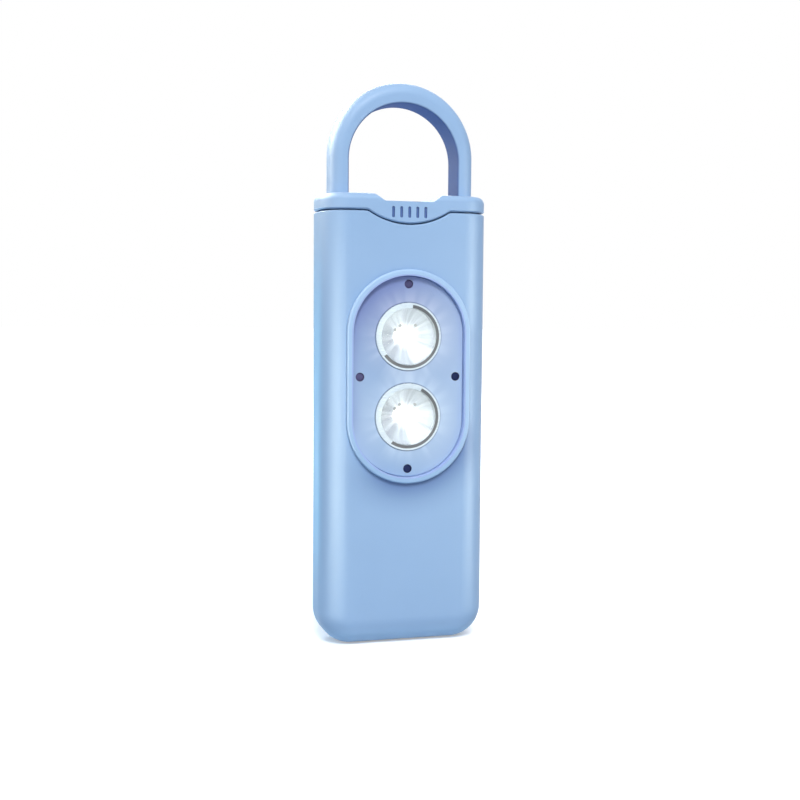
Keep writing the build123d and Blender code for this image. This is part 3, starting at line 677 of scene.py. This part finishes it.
def shellFinish(name, housing=False, shackle=False):
    look = shellPaint
    dust, reach = look["housingCornerShade"] if housing else look["dust"]
    deeper = tuple(channel - look["deeper"] for channel in look["blue"])
    return plasticFinish(name, look["blue"], deeper, look["roughness"], look["grainSize"], look["grainDepth"],
                         look["dustAndShadeColour"], look["wear"], dust, reach, look["shine"], look["coat"],
                         look["coatRoughness"], look["foot"], housing, shackle)


metalAge = {
    "grimeAndShadow": (92, 88, 82),
    "dusty": 0.3,                   # what dust does to the roughness
    "uneven": (-0.05, 0.07),
    "grainSize": 0.5,               # mm
}


def metalFinish(name, shade, tarnish, roughness, pitch=0.06, lineDepth=0.002, centre=None, dust=0.2,
                metallic=1.0):
    material, tree, shader, place = newFinish(name)
    shader.inputs["Metallic"].default_value = metallic
    around = vectorNode(tree, "SUBTRACT", place, tuple(c * mm for c in centre)) if centre else place
    lines = useEffect(tree, brushEffect, around, pitch=pitch * mm, round=1.0 if centre else 0.0)
    grain = useEffect(tree, grainEffect, place, size=metalAge["grainSize"] * mm, waviness=0.8)
    dustAndShadeMask = useEffect(tree, dustAndShadeEffect, place, amount=dust)
    body = mixColour(tree, grain["Tone"], shade, tarnish)
    body = mixColour(tree, dustAndShadeMask["Mask"], body, metalAge["grimeAndShadow"])
    tree.links.new(body, shader.inputs["Base Color"])
    low, high = metalAge["uneven"]
    gloss = rampNode(tree, lines["Gloss"], 0.0, 1.0, roughness + low, roughness + high)
    gloss = mathNode(tree, "ADD", gloss, times(tree, dustAndShadeMask["Mask"], metalAge["dusty"]), clamp=True)
    tree.links.new(gloss, shader.inputs["Roughness"])
    raiseSurface(tree, shader, lines["Height"], lineDepth)
    return material


lightHeights = {"upper": 54.353, "lower": 40.353}   # mm above the base

platePaint = {
    # the lilac top, darker: partly the plate's tint, partly painted shade
    "lilac": (110, 127, 178),
    "blue": (143, 172, 207),
    "fade": (42.0, 63.0),           # mm above the base, where the lilac starts and where it is full
    "light": (174, 194, 221),       # painted light on the plate's right side, and on its left where it isn't lilac
    "paintedLightRight": (-4, 10),         # mm from the middle, where it starts and where it is full
    "paintedLightLeft": (-3, -9),
    "paintedLightShare": (0.6, 0.45),      # how full, right and left
    # painted light: the plate's own glow stands for what the lit lamps spill on it
    "glow": 0.22,
    "glowShade": (255, 252, 225),
    "glowReach": (9.6, 4.6),        # mm from a light's middle, where it ends and where it is full
    "glowRays": 3.4,                # how finely the spilled light breaks into rays
    "glowBand": (0.35, 0.65),       # the stretch of a noise that makes them
    "glowDip": 0.45,                # what is left of it between two rays
    "line": 0.7,                    # painted shadow in the corner at the rings
    "lineShade": (96, 108, 142),
    "lineReach": (6.15, 5.90),
    "roughness": (0.27, 0.35),
    "grainSize": 0.16,
    "grainDepth": 0.002,
    "grainShade": (190, 205, 240),
    "grainShare": 0.10,
    # darker lilac in the plate's corners
    "dust": 0.3,
    "dustAndShadeColour": (120, 132, 176),
}

plateShade = {                      # painted shadow inside the bezel, at its upper left, mm
    "inner": 7.2, "outer": 10.05,
    "strength": 0.55,
    "shade": (92, 98, 160),
    "towards": (-0.55, 0.84),
}


def plateFinish():                  # lilac at the top of the plate, blue at its foot; the darker lilac is partly its tint and partly painted shade
    look = platePaint
    material, tree, shader, place = newFinish("plateLilac")
    parts = splitPlace(tree, place)
    fade = spanNode(tree, parts["Z"], look["fade"])
    grain = useEffect(tree, grainEffect, place, size=look["grainSize"] * mm, waviness=0.4)
    dustAndShadeMask = useEffect(tree, dustAndShadeEffect, place, amount=look["dust"])
    body = mixColour(tree, fade, look["blue"], look["lilac"])
    # painted light towards the plate's sides
    rightShare, leftShare = look["paintedLightShare"]
    rightwards = times(tree, spanNode(tree, parts["X"], look["paintedLightRight"]), rightShare)
    leftwards = times(tree, spanNode(tree, parts["X"], look["paintedLightLeft"]), leftShare)
    leftwards = times(tree, leftwards, mathNode(tree, "SUBTRACT", 1.0, fade))
    body = mixColour(tree, mathNode(tree, "MAXIMUM", rightwards, leftwards), body, look["light"])
    body = mixColour(tree, times(tree, grain["Tone"], look["grainShare"]), body, look["grainShade"])
    body = mixColour(tree, dustAndShadeMask["Mask"], body, look["dustAndShadeColour"])
    # painted shadow along the bezel's inner edge
    body = mixColour(tree, ovalShade(tree, place, plateShade)[0], body, plateShade["shade"])
    inside, dark = holeMask(tree, place)
    glow = outlined = None          # painted light for what both lamps spill on the plate, and painted shadow at their rings
    for height in lightHeights.values():
        middle = (0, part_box("face_plate")[0].y, height * mm)
        gap = vectorNode(tree, "DISTANCE", place, middle)
        around = vectorNode(tree, "NORMALIZE", vectorNode(tree, "SUBTRACT", place, middle))
        rays = noiseNode(tree, around, look["glowRays"], 1.0, 0.5)
        broken = rampNode(tree, rays, *look["glowBand"], look["glowDip"], 1.0)
        spill = times(tree, spanNode(tree, gap, look["glowReach"]), broken)
        glow = mathNode(tree, "ADD", glow, spill) if glow else spill
        line = spanNode(tree, gap, look["lineReach"])
        outlined = mathNode(tree, "ADD", outlined, line) if outlined else line
    # painted shadow round the light rings
    body = mixColour(tree, times(tree, outlined, look["line"]), body, look["lineShade"])
    tree.links.new(mixColour(tree, inside, body, dark), shader.inputs["Base Color"])
    dimmed = times(tree, glow, mathNode(tree, "SUBTRACT", 1.0, inside))
    dimmed = times(tree, dimmed, mathNode(tree, "SUBTRACT", 1.0, outlined, clamp=True))
    # the plate glows here: painted light
    tree.links.new(mixColour(tree, dimmed, (0, 0, 0), look["glowShade"]), shader.inputs["Emission Color"])
    shader.inputs["Emission Strength"].default_value = look["glow"]
    tree.links.new(wanderingGloss(tree, grain, *look["roughness"]), shader.inputs["Roughness"])
    raiseSurface(tree, shader, grain["Height"], look["grainDepth"])
    return material


reflectorLook = {
    "shine": 0.12,
    "roughness": (0.50, 0.60),
    # painted reflection: the bowl's streaks run between these two greys
    "dim": (124, 133, 147),
    "bright": (146, 156, 169),
    "headLevel": 1.36,              # painted light: the bowl is paler at its top than at its foot
    "footLevel": 0.80,
    "levelBand": (-0.9, 1.0),       # from foot to head
    "wideWedges": 1.7,
    "thinRays": 4.5,
    "thinShare": 0.45,              # the streaks are made of both, this much of the thin ones
    "paintedBurst": 0.50,                  # how strongly the painted light of the diode's rays shows on the bowl
    "shift": 0.55,                  # mm, the rays' middle, to the right of the diode
    "core": (2.75, 0.9),            # mm from there, where the glow ends and where it is full
    "rays": (4.9, 1.3),
    "rayShare": 0.44,
    # a painted wedge of light, to the lower right
    "flare": (7.0, 4.0),
    "flareShare": 0.85,
    "flareAngle": 145,              # degrees clockwise from twelve o'clock
    "flareHalf": 23,
    "flareEdge": (9, -4),           # degrees past that, where it starts and where it is full
    "rayBand": (0.42, 0.64),        # the stretches of the noises that make rays and streaks
    "streakBand": (0.36, 0.62),
    "grainSize": 0.4,
    "grainDepth": 0.003,
    "turns": {"upper": 0, "lower": 5},
}


def reflectorFinish(name, height, turn):    # bright metallised plastic, with painted light of its diode in rays
    look = reflectorLook
    material, tree, shader, place = newFinish(name)
    setInputs(shader, {"Specular IOR Level": look["shine"], "Emission Strength": look["paintedBurst"]})
    centred = tree.nodes.new("ShaderNodeMapping")
    centred.vector_type = "TEXTURE"
    middle = (look["shift"] * mm, 0, height * mm)
    setInputs(centred, {"Location": middle, "Rotation": (0, math.radians(turn), 0)})
    tree.links.new(place, centred.inputs["Vector"])
    flat = vectorNode(tree, "MULTIPLY", centred.outputs[0], (1, 0, 1))
    distance = times(tree, vectorNode(tree, "LENGTH", flat), 1 / mm)
    around = vectorNode(tree, "NORMALIZE", flat)
    wide = noiseNode(tree, around, look["wideWedges"], 1.0, 0.4)
    thin = noiseNode(tree, around, look["thinRays"], 1.0, 0.5)
    angle = math.radians(look["flareAngle"])
    towards = vectorNode(tree, "DOT_PRODUCT", around, (math.sin(angle), 0, math.cos(angle)))
    wedge = rampNode(tree, towards, *(math.cos(math.radians(look["flareHalf"] + edge))
                                      for edge in look["flareEdge"]))
    core = rampNode(tree, distance, *look["core"])
    rays = times(tree, rampNode(tree, thin, *look["rayBand"]), rampNode(tree, distance, *look["rays"]))
    flare = times(tree, wedge, rampNode(tree, distance, *look["flare"]))
    # painted light: the diode's core, rays and wedge glow on the bowl
    paintedBurst = mathNode(tree, "MULTIPLY_ADD", rays, look["rayShare"], core)
    paintedBurst = mathNode(tree, "MULTIPLY_ADD", flare, look["flareShare"], paintedBurst, clamp=True)
    tree.links.new(mixColour(tree, paintedBurst, (0, 0, 0), (255, 255, 255)), shader.inputs["Emission Color"])
    # painted reflection in streaks, and painted light paler towards the top
    share = look["thinShare"]
    streaks = mathNode(tree, "MULTIPLY_ADD", thin, share, times(tree, wide, 1 - share))
    streaks = rampNode(tree, streaks, *look["streakBand"])
    body = mixColour(tree, streaks, look["dim"], look["bright"])
    upwards = splitPlace(tree, around)["Z"]
    level = rampNode(tree, upwards, *look["levelBand"], look["footLevel"], look["headLevel"])
    tree.links.new(vectorNode(tree, "MULTIPLY", body, level), shader.inputs["Base Color"])
    grain = useEffect(tree, grainEffect, place, size=look["grainSize"] * mm, waviness=0.5)
    tree.links.new(wanderingGloss(tree, grain, *look["roughness"]), shader.inputs["Roughness"])
    raiseSurface(tree, shader, grain["Height"], look["grainDepth"])
    return material


diodeLook = {
    "glow": 0.5,
    "light": ((255, 255, 255), (240, 248, 255)),
    "dome": ((250, 250, 244), (244, 240, 214)),
    "roughness": 0.3,
    "grainSize": 0.3,               # mm
}


def diodeFinish():
    material, tree, shader, place = newFinish("diodeWhite")
    setInputs(shader, {"Emission Strength": diodeLook["glow"], "Roughness": diodeLook["roughness"]})
    grain = useEffect(tree, grainEffect, place, size=diodeLook["grainSize"] * mm, waviness=0.5)
    for key, label in (("light", "Emission Color"), ("dome", "Base Color")):
        tree.links.new(mixColour(tree, grain["Tone"], *diodeLook[key]), shader.inputs[label])
    return material


lensLook = {
    "bend": 1.46,                   # how strongly the clear plastic bends light
    "haze": 0.03,                   # roughness where it is least clear
    "grainSize": 0.8,               # mm
}


def lensFinish():
    material, tree, shader, place = newFinish("lensClear")
    setInputs(shader, {"Base Color": (1, 1, 1, 1), "Metallic": 0.0, "Transmission Weight": 1.0,
                       "IOR": lensLook["bend"]})
    grain = useEffect(tree, grainEffect, place, size=lensLook["grainSize"] * mm, waviness=0.6)
    tree.links.new(wanderingGloss(tree, grain, 0.0, lensLook["haze"]), shader.inputs["Roughness"])
    clear = tree.nodes.new("ShaderNodeBsdfTransparent")
    rays = tree.nodes.new("ShaderNodeLightPath")
    cast = mixShaders(tree, rays.outputs["Is Shadow Ray"], shader, clear)      # it casts no shadow
    tree.links.new(cast, tree.nodes["Material Output"].inputs["Surface"])
    return material


shellBlue = shellFinish("shellBlue")
housingBlue = shellFinish("housingBlue", housing=True)
shackleBlue = shellFinish("shackleBlue", shackle=True)
markBlue = plasticFinish("markBlue", (58, 92, 152), (50, 82, 140), 0.5, wear=0.1, dust=0.1)
# the dark grey in the light rings' grooves: a painted reflection
paintedReflectionGrey = plasticFinish("paintedReflectionGrey", (90, 93, 99), (78, 81, 87), 0.42, wear=0.1, dust=0.1)
feltLook = {"roughness": 0.9, "grainSize": 0.08, "grainDepth": 0.02, "wear": 0.0, "dust": 0.1, "shine": 0.1}
feltPlum = plasticFinish("feltPlum", (92, 88, 126), (80, 76, 112), **feltLook)
feltNavy = plasticFinish("feltNavy", (36, 46, 88), (28, 38, 76), **feltLook)
pipGrey = plasticFinish("pipGrey", (136, 142, 148), (124, 130, 136), 0.6, wear=0.1, dust=0.0, shine=0.2)
plateLilac = plateFinish()
lensClear = lensFinish()
diodeWhite = diodeFinish()
ringSilver = metalFinish("ringSilver", (218, 229, 236), (210, 221, 229), 0.24, pitch=0.05, dust=0.1,
                         metallic=0.15)
print("finishes made")

innerPlastics = {   # by slot: name, shade, a deeper one, roughness, grain's size and depth, dust's shade
    "board_green": ("boardGreen", (28, 96, 62), (22, 84, 54), 0.32, 0.5, 0.006),
    "inner_black": ("innerBlack", (30, 32, 36), (24, 26, 30), 0.45, 0.15, 0.006, (90, 90, 92)),
    "inner_white": ("innerWhite", (226, 226, 220), (216, 216, 210), 0.42, 0.2, 0.004, (160, 158, 150)),
    "siren_ceramic": ("sirenCeramic", (206, 204, 194), (190, 188, 178), 0.6, 0.12, 0.008, (150, 146, 138)),
    "soft_black": ("softBlack", (36, 37, 40), (28, 29, 32), 0.72, 0.12, 0.010, (84, 84, 84)),
    "lead_red": ("leadRed", (170, 34, 30), (150, 28, 26), 0.40, 0.3, 0.004),
    "coil_ferrite": ("coilFerrite", (54, 54, 58), (44, 44, 48), 0.55, 0.1, 0.012),
    "small_ceramic": ("smallCeramic", (176, 148, 112), (150, 124, 92), 0.5, 0.2, 0.008),
}

innerMetals = {     # by slot: name, shade, tarnish, roughness, pitch and depth of its lines, their centre
    "screw_steel": ("screwSteel", (188, 190, 192), (158, 160, 164), 0.28, 0.05),
    "cell_metal": ("cellSteel", (206, 208, 208), (184, 186, 188), 0.24, 0.07, 0.002, (0, 0, 17.5)),
    "siren_brass": ("sirenBrass", (206, 168, 92), (176, 136, 70), 0.30, 0.07, 0.002, (0, 0, 47.353)),
    "coil_copper": ("coilCopper", (196, 112, 60), (160, 84, 44), 0.30, 0.12, 0.03),
    "can_aluminium": ("canAluminium", (204, 206, 210), (186, 188, 194), 0.30, 0.08),
}

slotFinishes = {
    "shell_blue": shellBlue, "plate_lilac": plateLilac, "ring_silver": ringSilver, "lens_clear": lensClear,
    "led_white": diodeWhite,
}
for slot, values in innerPlastics.items():
    slotFinishes[slot] = plasticFinish(*values)
for slot, values in innerMetals.items():
    slotFinishes[slot] = metalFinish(*values)
ownFinishes = {"front_housing": housingBlue, "shackle": shackleBlue}
for part in frame["record"]["subparts"]:
    finish = ownFinishes.get(part["node"], slotFinishes.get(part["material_slot"]))
    node = nodes.get(part["node"])
    if finish and node:
        node.data.materials.clear()
        node.data.materials.append(finish)
print("finishes laid on the nodes")

lightTrim = {
    "segments": 96,
    "radius": 5.85,                 # mm
    "land": 0.30,
    "slopeWidth": 0.60,
    "slopeDepth": 0.15,
    "steepest": -0.5,               # the slope faces the front at least this much
    "lip": 0.25,                    # edge over the lens
    "windowShift": (0.09, -0.03),   # the window sits a little off centre, x and z
    "seatRadius": 5.3,
    "grooveDepth": 0.09,
    "grooveInset": 0.02,
    "upperGroove": (8, 232),        # degrees clockwise from twelve o'clock; the dark grey in it is a painted reflection
    "lowerGroove": (27, 215),
    "smoothUnder": 25,              # degrees between two faces
}


def makeLightRing(name, height, groove):
    trim = lightTrim
    low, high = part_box("light_ring_" + name)
    front, back = low.y, high.y
    lensSeat = front + (trim["slopeDepth"] + trim["lip"]) * mm
    ring = addPlug("lightRing_" + name, 0, height * mm, front, back, trim["radius"] * mm, trim["segments"])
    pickFaces(ring, facesFront)
    bpy.ops.mesh.inset(thickness=trim["land"] * mm)
    bpy.ops.mesh.inset(thickness=trim["slopeWidth"] * mm, depth=-trim["slopeDepth"] * mm)
    shiftX, shiftZ = trim["windowShift"]
    bpy.ops.transform.translate(value=(shiftX * mm, 0, shiftZ * mm))
    extrude(trim["lip"] * mm)
    bpy.ops.mesh.delete(type="FACE")
    pickFaces(ring, facesBack)
    bpy.ops.mesh.inset(thickness=(trim["radius"] - trim["seatRadius"]) * mm)
    extrude(lensSeat - back)
    bpy.ops.mesh.delete(type="FACE")
    bpy.ops.mesh.select_mode(type="EDGE")
    bpy.ops.mesh.select_non_manifold(extend=False)
    bpy.ops.mesh.bridge_edge_loops()
    bpy.ops.mesh.select_all(action="SELECT")
    bpy.ops.mesh.remove_doubles(threshold=weld)
    bpy.ops.mesh.normals_make_consistent(inside=False)
    start, end = groove
    middle = height * mm
    slopeFoot = front + trim["slopeDepth"] * mm

    def onGroove(face):             # the sloped faces between two hours of the dial
        if not front + slack < face.center.y < slopeFoot - slack or face.normal.y > trim["steepest"]:
            return False
        hour = math.degrees(math.atan2(face.center.x, face.center.z - middle)) % 360
        return start <= hour <= end

    pickFaces(ring, onGroove)
    bpy.ops.mesh.inset(thickness=trim["grooveInset"] * mm, depth=-trim["grooveDepth"] * mm)
    bpy.ops.object.mode_set(mode="OBJECT")
    sunk = [face.index for face in ring.data.polygons if face.select]
    smoothPiece(ring, trim["smoothUnder"])
    dress(ring, [ringSilver, paintedReflectionGrey], "housing", "ring_silver", "light_ring_" + name)
    # the groove's dark grey: a painted reflection
    for index in sunk:
        ring.data.polygons[index].material_index = 1


reflectorBowl = {
    "flutes": 22,
    "mouthRadius": 4.85,            # mm
    "mouthInset": 0.01,             # behind the node's own front
    "throatRadius": 1.45,
    "throatY": -2.0,
    "rings": 6,
    "bulge": 0.70,
    "fluteDepth": 0.09,
    "wall": 0.20,
    "smoothUnder": 8,               # degrees between two faces
    "pips": ((-0.35, 1.76), (-1.15, 1.10), (2.15, 1.80)),   # moulded pips round the diode
    "pipRadius": 0.30,
    "pipFlatness": 0.7,
    "pipSides": 16,
}


def makeReflector(name, height, finish):
    bowl = reflectorBowl
    low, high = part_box("reflector_" + name)
    middle = height * mm
    mouthY, throatY = low.y + bowl["mouthInset"] * mm, bowl["throatY"] * mm
    mouth, throat = bowl["mouthRadius"], bowl["throatRadius"]
    sides = bowl["flutes"] * 2
    deselectAll()
    bpy.ops.mesh.primitive_cone_add(
        vertices=sides, radius1=throat * mm, radius2=mouth * mm, depth=throatY - mouthY,
        end_fill_type="NOTHING", location=(0, (mouthY + throatY) / 2, middle), rotation=(math.pi / 2, 0, 0))
    piece = bpy.context.object
    piece.name = "reflectorBowl_" + name
    settle(piece)
    steps = [step / bowl["rings"] for step in range(1, bowl["rings"])]
    bpy.ops.object.mode_set(mode="EDIT")
    for share in steps:
        bpy.ops.mesh.select_all(action="SELECT")
        bpy.ops.mesh.bisect(plane_co=(0, mouthY + (throatY - mouthY) * share, 0), plane_no=(0, 1, 0))
    for share in steps:             # belly of the bowl
        y = mouthY + (throatY - mouthY) * share
        straight = mouth + (throat - mouth) * share
        grow = 1 + bowl["bulge"] * 4 * share * (1 - share) / straight
        pickPoints(piece, lambda point: abs(point.y - y) < slack)
        stretch(grow, grow, (0, y, middle))
    turn = 360 / sides

    def onRidge(point):             # every second meridian
        angle = math.degrees(math.atan2(point.x, point.z - middle)) % 360
        return round(angle / turn) % 2 == 0 and mouthY + slack < point.y < throatY - slack

    pickPoints(piece, onRidge)
    sink = 1 - bowl["fluteDepth"] / mouth
    stretch(sink, sink, (0, 0, middle))
    pickPoints(piece, lambda point: point.y < mouthY + slack)
    bpy.ops.mesh.extrude_region_move()
    grow = high.x / (mouth * mm)
    stretch(grow, grow, (0, mouthY, middle))
    bpy.ops.mesh.select_all(action="SELECT")
    bpy.ops.mesh.normals_make_consistent(inside=False)
    bpy.ops.object.mode_set(mode="OBJECT")
    spots = [piece.ray_cast((x * mm, mouthY - mm, middle + z * mm), (0, 1, 0))[1] for x, z in bowl["pips"]]
    bpy.ops.object.modifier_add(type="SOLIDIFY")
    wall = piece.modifiers[-1]
    wall.thickness = bowl["wall"] * mm
    face = piece.data.polygons[0]   # the wall grows away from the axis
    wall.offset = 1 if face.normal.dot(face.center - Vector((0, face.center.y, middle))) > 0 else -1
    bpy.ops.object.modifier_apply(modifier=wall.name)
    smoothPiece(piece, bowl["smoothUnder"])
    piece.data.materials.append(finish)
    deselectAll()
    sides = bowl["pipSides"]
    bpy.ops.mesh.primitive_uv_sphere_add(segments=sides, ring_count=sides // 2,
                                         radius=bowl["pipRadius"] * mm, location=spots[0])
    pip = bpy.context.object
    pip.scale = (1, bowl["pipFlatness"], 1)
    settle(pip)
    bpy.ops.object.shade_smooth()
    pip.data.materials.append(pipGrey)
    pips = [pip]
    for spot in spots[1:]:
        away = spot - spots[0]
        pips.append(copyPiece(pip, "pip", away.x, away.z))
        bpy.ops.transform.translate(value=(0, away.y, 0))
        settle(pips[-1])
    activate(piece)
    for pip in pips:
        pip.select_set(True)
    bpy.ops.object.join()
    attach(piece, "housing")
    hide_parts("reflector_" + name)


for name, height in lightHeights.items():
    makeLightRing(name, height, lightTrim[name + "Groove"])
    silver = reflectorFinish("reflectorSilver_" + name, height, reflectorLook["turns"][name])
    makeReflector(name, height, silver)
print("light rings and reflectors made")


def makeFelts():                    # dust felt just below the plate's face, in each sound hole; its dark plum and navy are painted shade
    hole = soundHoles
    finishes = {"plum": feltPlum, "navy": feltNavy}
    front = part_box("face_plate")[0].y + hole["feltDepth"] * mm
    back = front + hole["feltThickness"] * mm
    radius = hole["feltRadius"] * mm
    x, z = hole["places"][0]
    first = addPlug("soundFelt_1", x * mm, z * mm, front, back, radius, hole["feltSides"])
    pickFaces(first, facesFront)
    for share in hole["feltHollow"]:
        bpy.ops.mesh.inset(thickness=radius * hole["feltStep"], depth=radius * share)
    smoothPiece(first, hole["smoothUnder"])
    for felt, shade in zip(repeatPiece(first, "soundFelt_", hole["places"]), hole["feltShades"]):
        dress(felt, [finishes[shade]], "housing", "soft_black")


makeFelts()
print("felts set in the sound holes")


def cutAway(piece, cutter):
    activate(piece)
    bpy.ops.object.modifier_add(type="BOOLEAN")
    cut = piece.modifiers[-1]
    cut.operation = "DIFFERENCE"
    cut.solver = "EXACT"
    cut.object = cutter
    cut.material_mode = "TRANSFER"
    bpy.ops.object.modifier_apply(modifier=cut.name)
    activate(cutter)
    bpy.ops.object.delete()


def copyNode(name, newName):        # a CAD node's shape as one closed mesh of its own
    activate(nodes[name])
    bpy.ops.object.duplicate()
    piece = bpy.context.object
    piece.name = newName
    bpy.ops.object.parent_clear(type="CLEAR_KEEP_TRANSFORM")
    for label in [key for key in piece.keys() if key.startswith("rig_")]:
        del piece[label]
    bpy.ops.mesh.customdata_custom_splitnormals_clear()
    bpy.ops.object.mode_set(mode="EDIT")
    bpy.ops.mesh.select_all(action="SELECT")
    bpy.ops.mesh.remove_doubles(threshold=weld)
    bpy.ops.mesh.dissolve_limited(angle_limit=math.radians(flatUnder))
    bpy.ops.object.mode_set(mode="OBJECT")
    return piece


gripMarks = {
    "count": 5,
    "pitch": 1.45,                  # mm
    "width": 0.62,
    "height": 2.05,
    "depth": 0.25,
    "corner": 0.42,                 # radius of their corners, as a share of the width
    "floor": (0.7, 0.9),            # size of a mark's floor, as shares of its width and height
    "middle": (0, 75.8),            # x and z
    "cornerSteps": 6,
    "smoothUnder": 28,              # degrees between two faces
}


def makeCap():
    marks = gripMarks
    cap = copyNode("cap_shell", "capShell_marked")
    cap.data.materials.clear()
    cap.data.materials.append(shellBlue)
    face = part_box("cap_shell")[0].y
    x, z = (value * mm for value in marks["middle"])
    pitch = marks["pitch"] * mm
    x -= (marks["count"] - 1) / 2 * pitch
    width = marks["width"] * mm
    bar = addBar((x, face, z), (width, 2 * marks["depth"] * mm, marks["height"] * mm))
    bar.data.materials.append(markBlue)
    pickEdges(bar, lambda first, second: abs(first.y - second.y) > slack)
    bpy.ops.mesh.bevel(offset=width * marks["corner"], segments=marks["cornerSteps"])
    pickFaces(bar, facesBack)
    stretch(*marks["floor"], (x, face, z))
    bars = [bar] + [copyPiece(bar, "bar", step * pitch, 0) for step in range(1, marks["count"])]
    for bar in bars:
        cutAway(cap, bar)
    smoothPiece(cap, marks["smoothUnder"])
    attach(cap, "pull_cap")
    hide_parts("cap_shell")


makeCap()
print("cap marked")

caseScrew = {                       # mm
    "places": ((-8.9, 36.25), (8.9, 36.25), (-8.9, 64.203), (8.9, 64.203)),
    "head": 1.6, "shank": 0.85, "seat": 5.0, "face": 6.1, "tip": -4.2,
    "crown": 0.28, "cross": 1.9, "crossWidth": 0.42, "crossDepth": 0.55,
}

doorScrew = {
    "place": (0, 29.603),
    "head": 1.2, "shank": 0.6, "seat": 5.95, "face": 6.5, "tip": 2.9,
    "crown": 0.15, "cross": 1.4, "crossWidth": 0.34, "crossDepth": 0.35,
}

screwShape = {
    "sides": 48,
    "tip": 0.7,                     # width of the shank's end, as a share of the shank's own
    "recessFloor": 0.62,            # size of the cross recess at its floor, as a share of its mouth
    "crownSteps": 4,
    "smoothUnder": 30,              # degrees between two faces
}


def makeScrew(name, x, z, screw):
    seat, top = screw["seat"] * mm, screw["face"] * mm
    x, z = x * mm, z * mm
    piece = addPlug(name, x, z, seat, top, screw["head"] * mm, screwShape["sides"])
    pickFaces(piece, facesFront)
    bpy.ops.mesh.inset(thickness=(screw["head"] - screw["shank"]) * mm)
    extrude((screw["tip"] - screw["seat"]) * mm)
    tip = screwShape["tip"]
    stretch(tip, tip, (x, seat, z))
    pickEdges(piece, lambda first, second: min(first.y, second.y) > top - slack)
    bpy.ops.mesh.bevel(offset=screw["crown"] * mm, segments=screwShape["crownSteps"])
    long, thin, deep = screw["cross"] * mm, screw["crossWidth"] * mm, screw["crossDepth"] * mm
    floor = screwShape["recessFloor"]
    for width, height in ((long, thin), (thin, long)):      # the two bars of the cross recess
        bar = addBar((x, top, z), (width, 2 * deep, height))
        pickFaces(bar, facesFront)
        stretch(floor, floor, (x, top, z))
        cutAway(piece, bar)
    smoothPiece(piece, screwShape["smoothUnder"])
    return piece


def placeScrews():
    first = makeScrew("caseScrew_1", *caseScrew["places"][0], caseScrew)
    for screw in repeatPiece(first, "caseScrew_", caseScrew["places"]):
        dress(screw, [slotFinishes["screw_steel"]], "housing", "screw_steel", "case_screws")
    lone = makeScrew("doorScrew", *doorScrew["place"], doorScrew)
    dress(lone, [slotFinishes["screw_steel"]], "housing", "screw_steel", "door_screw")


placeScrews()
print("screws made")
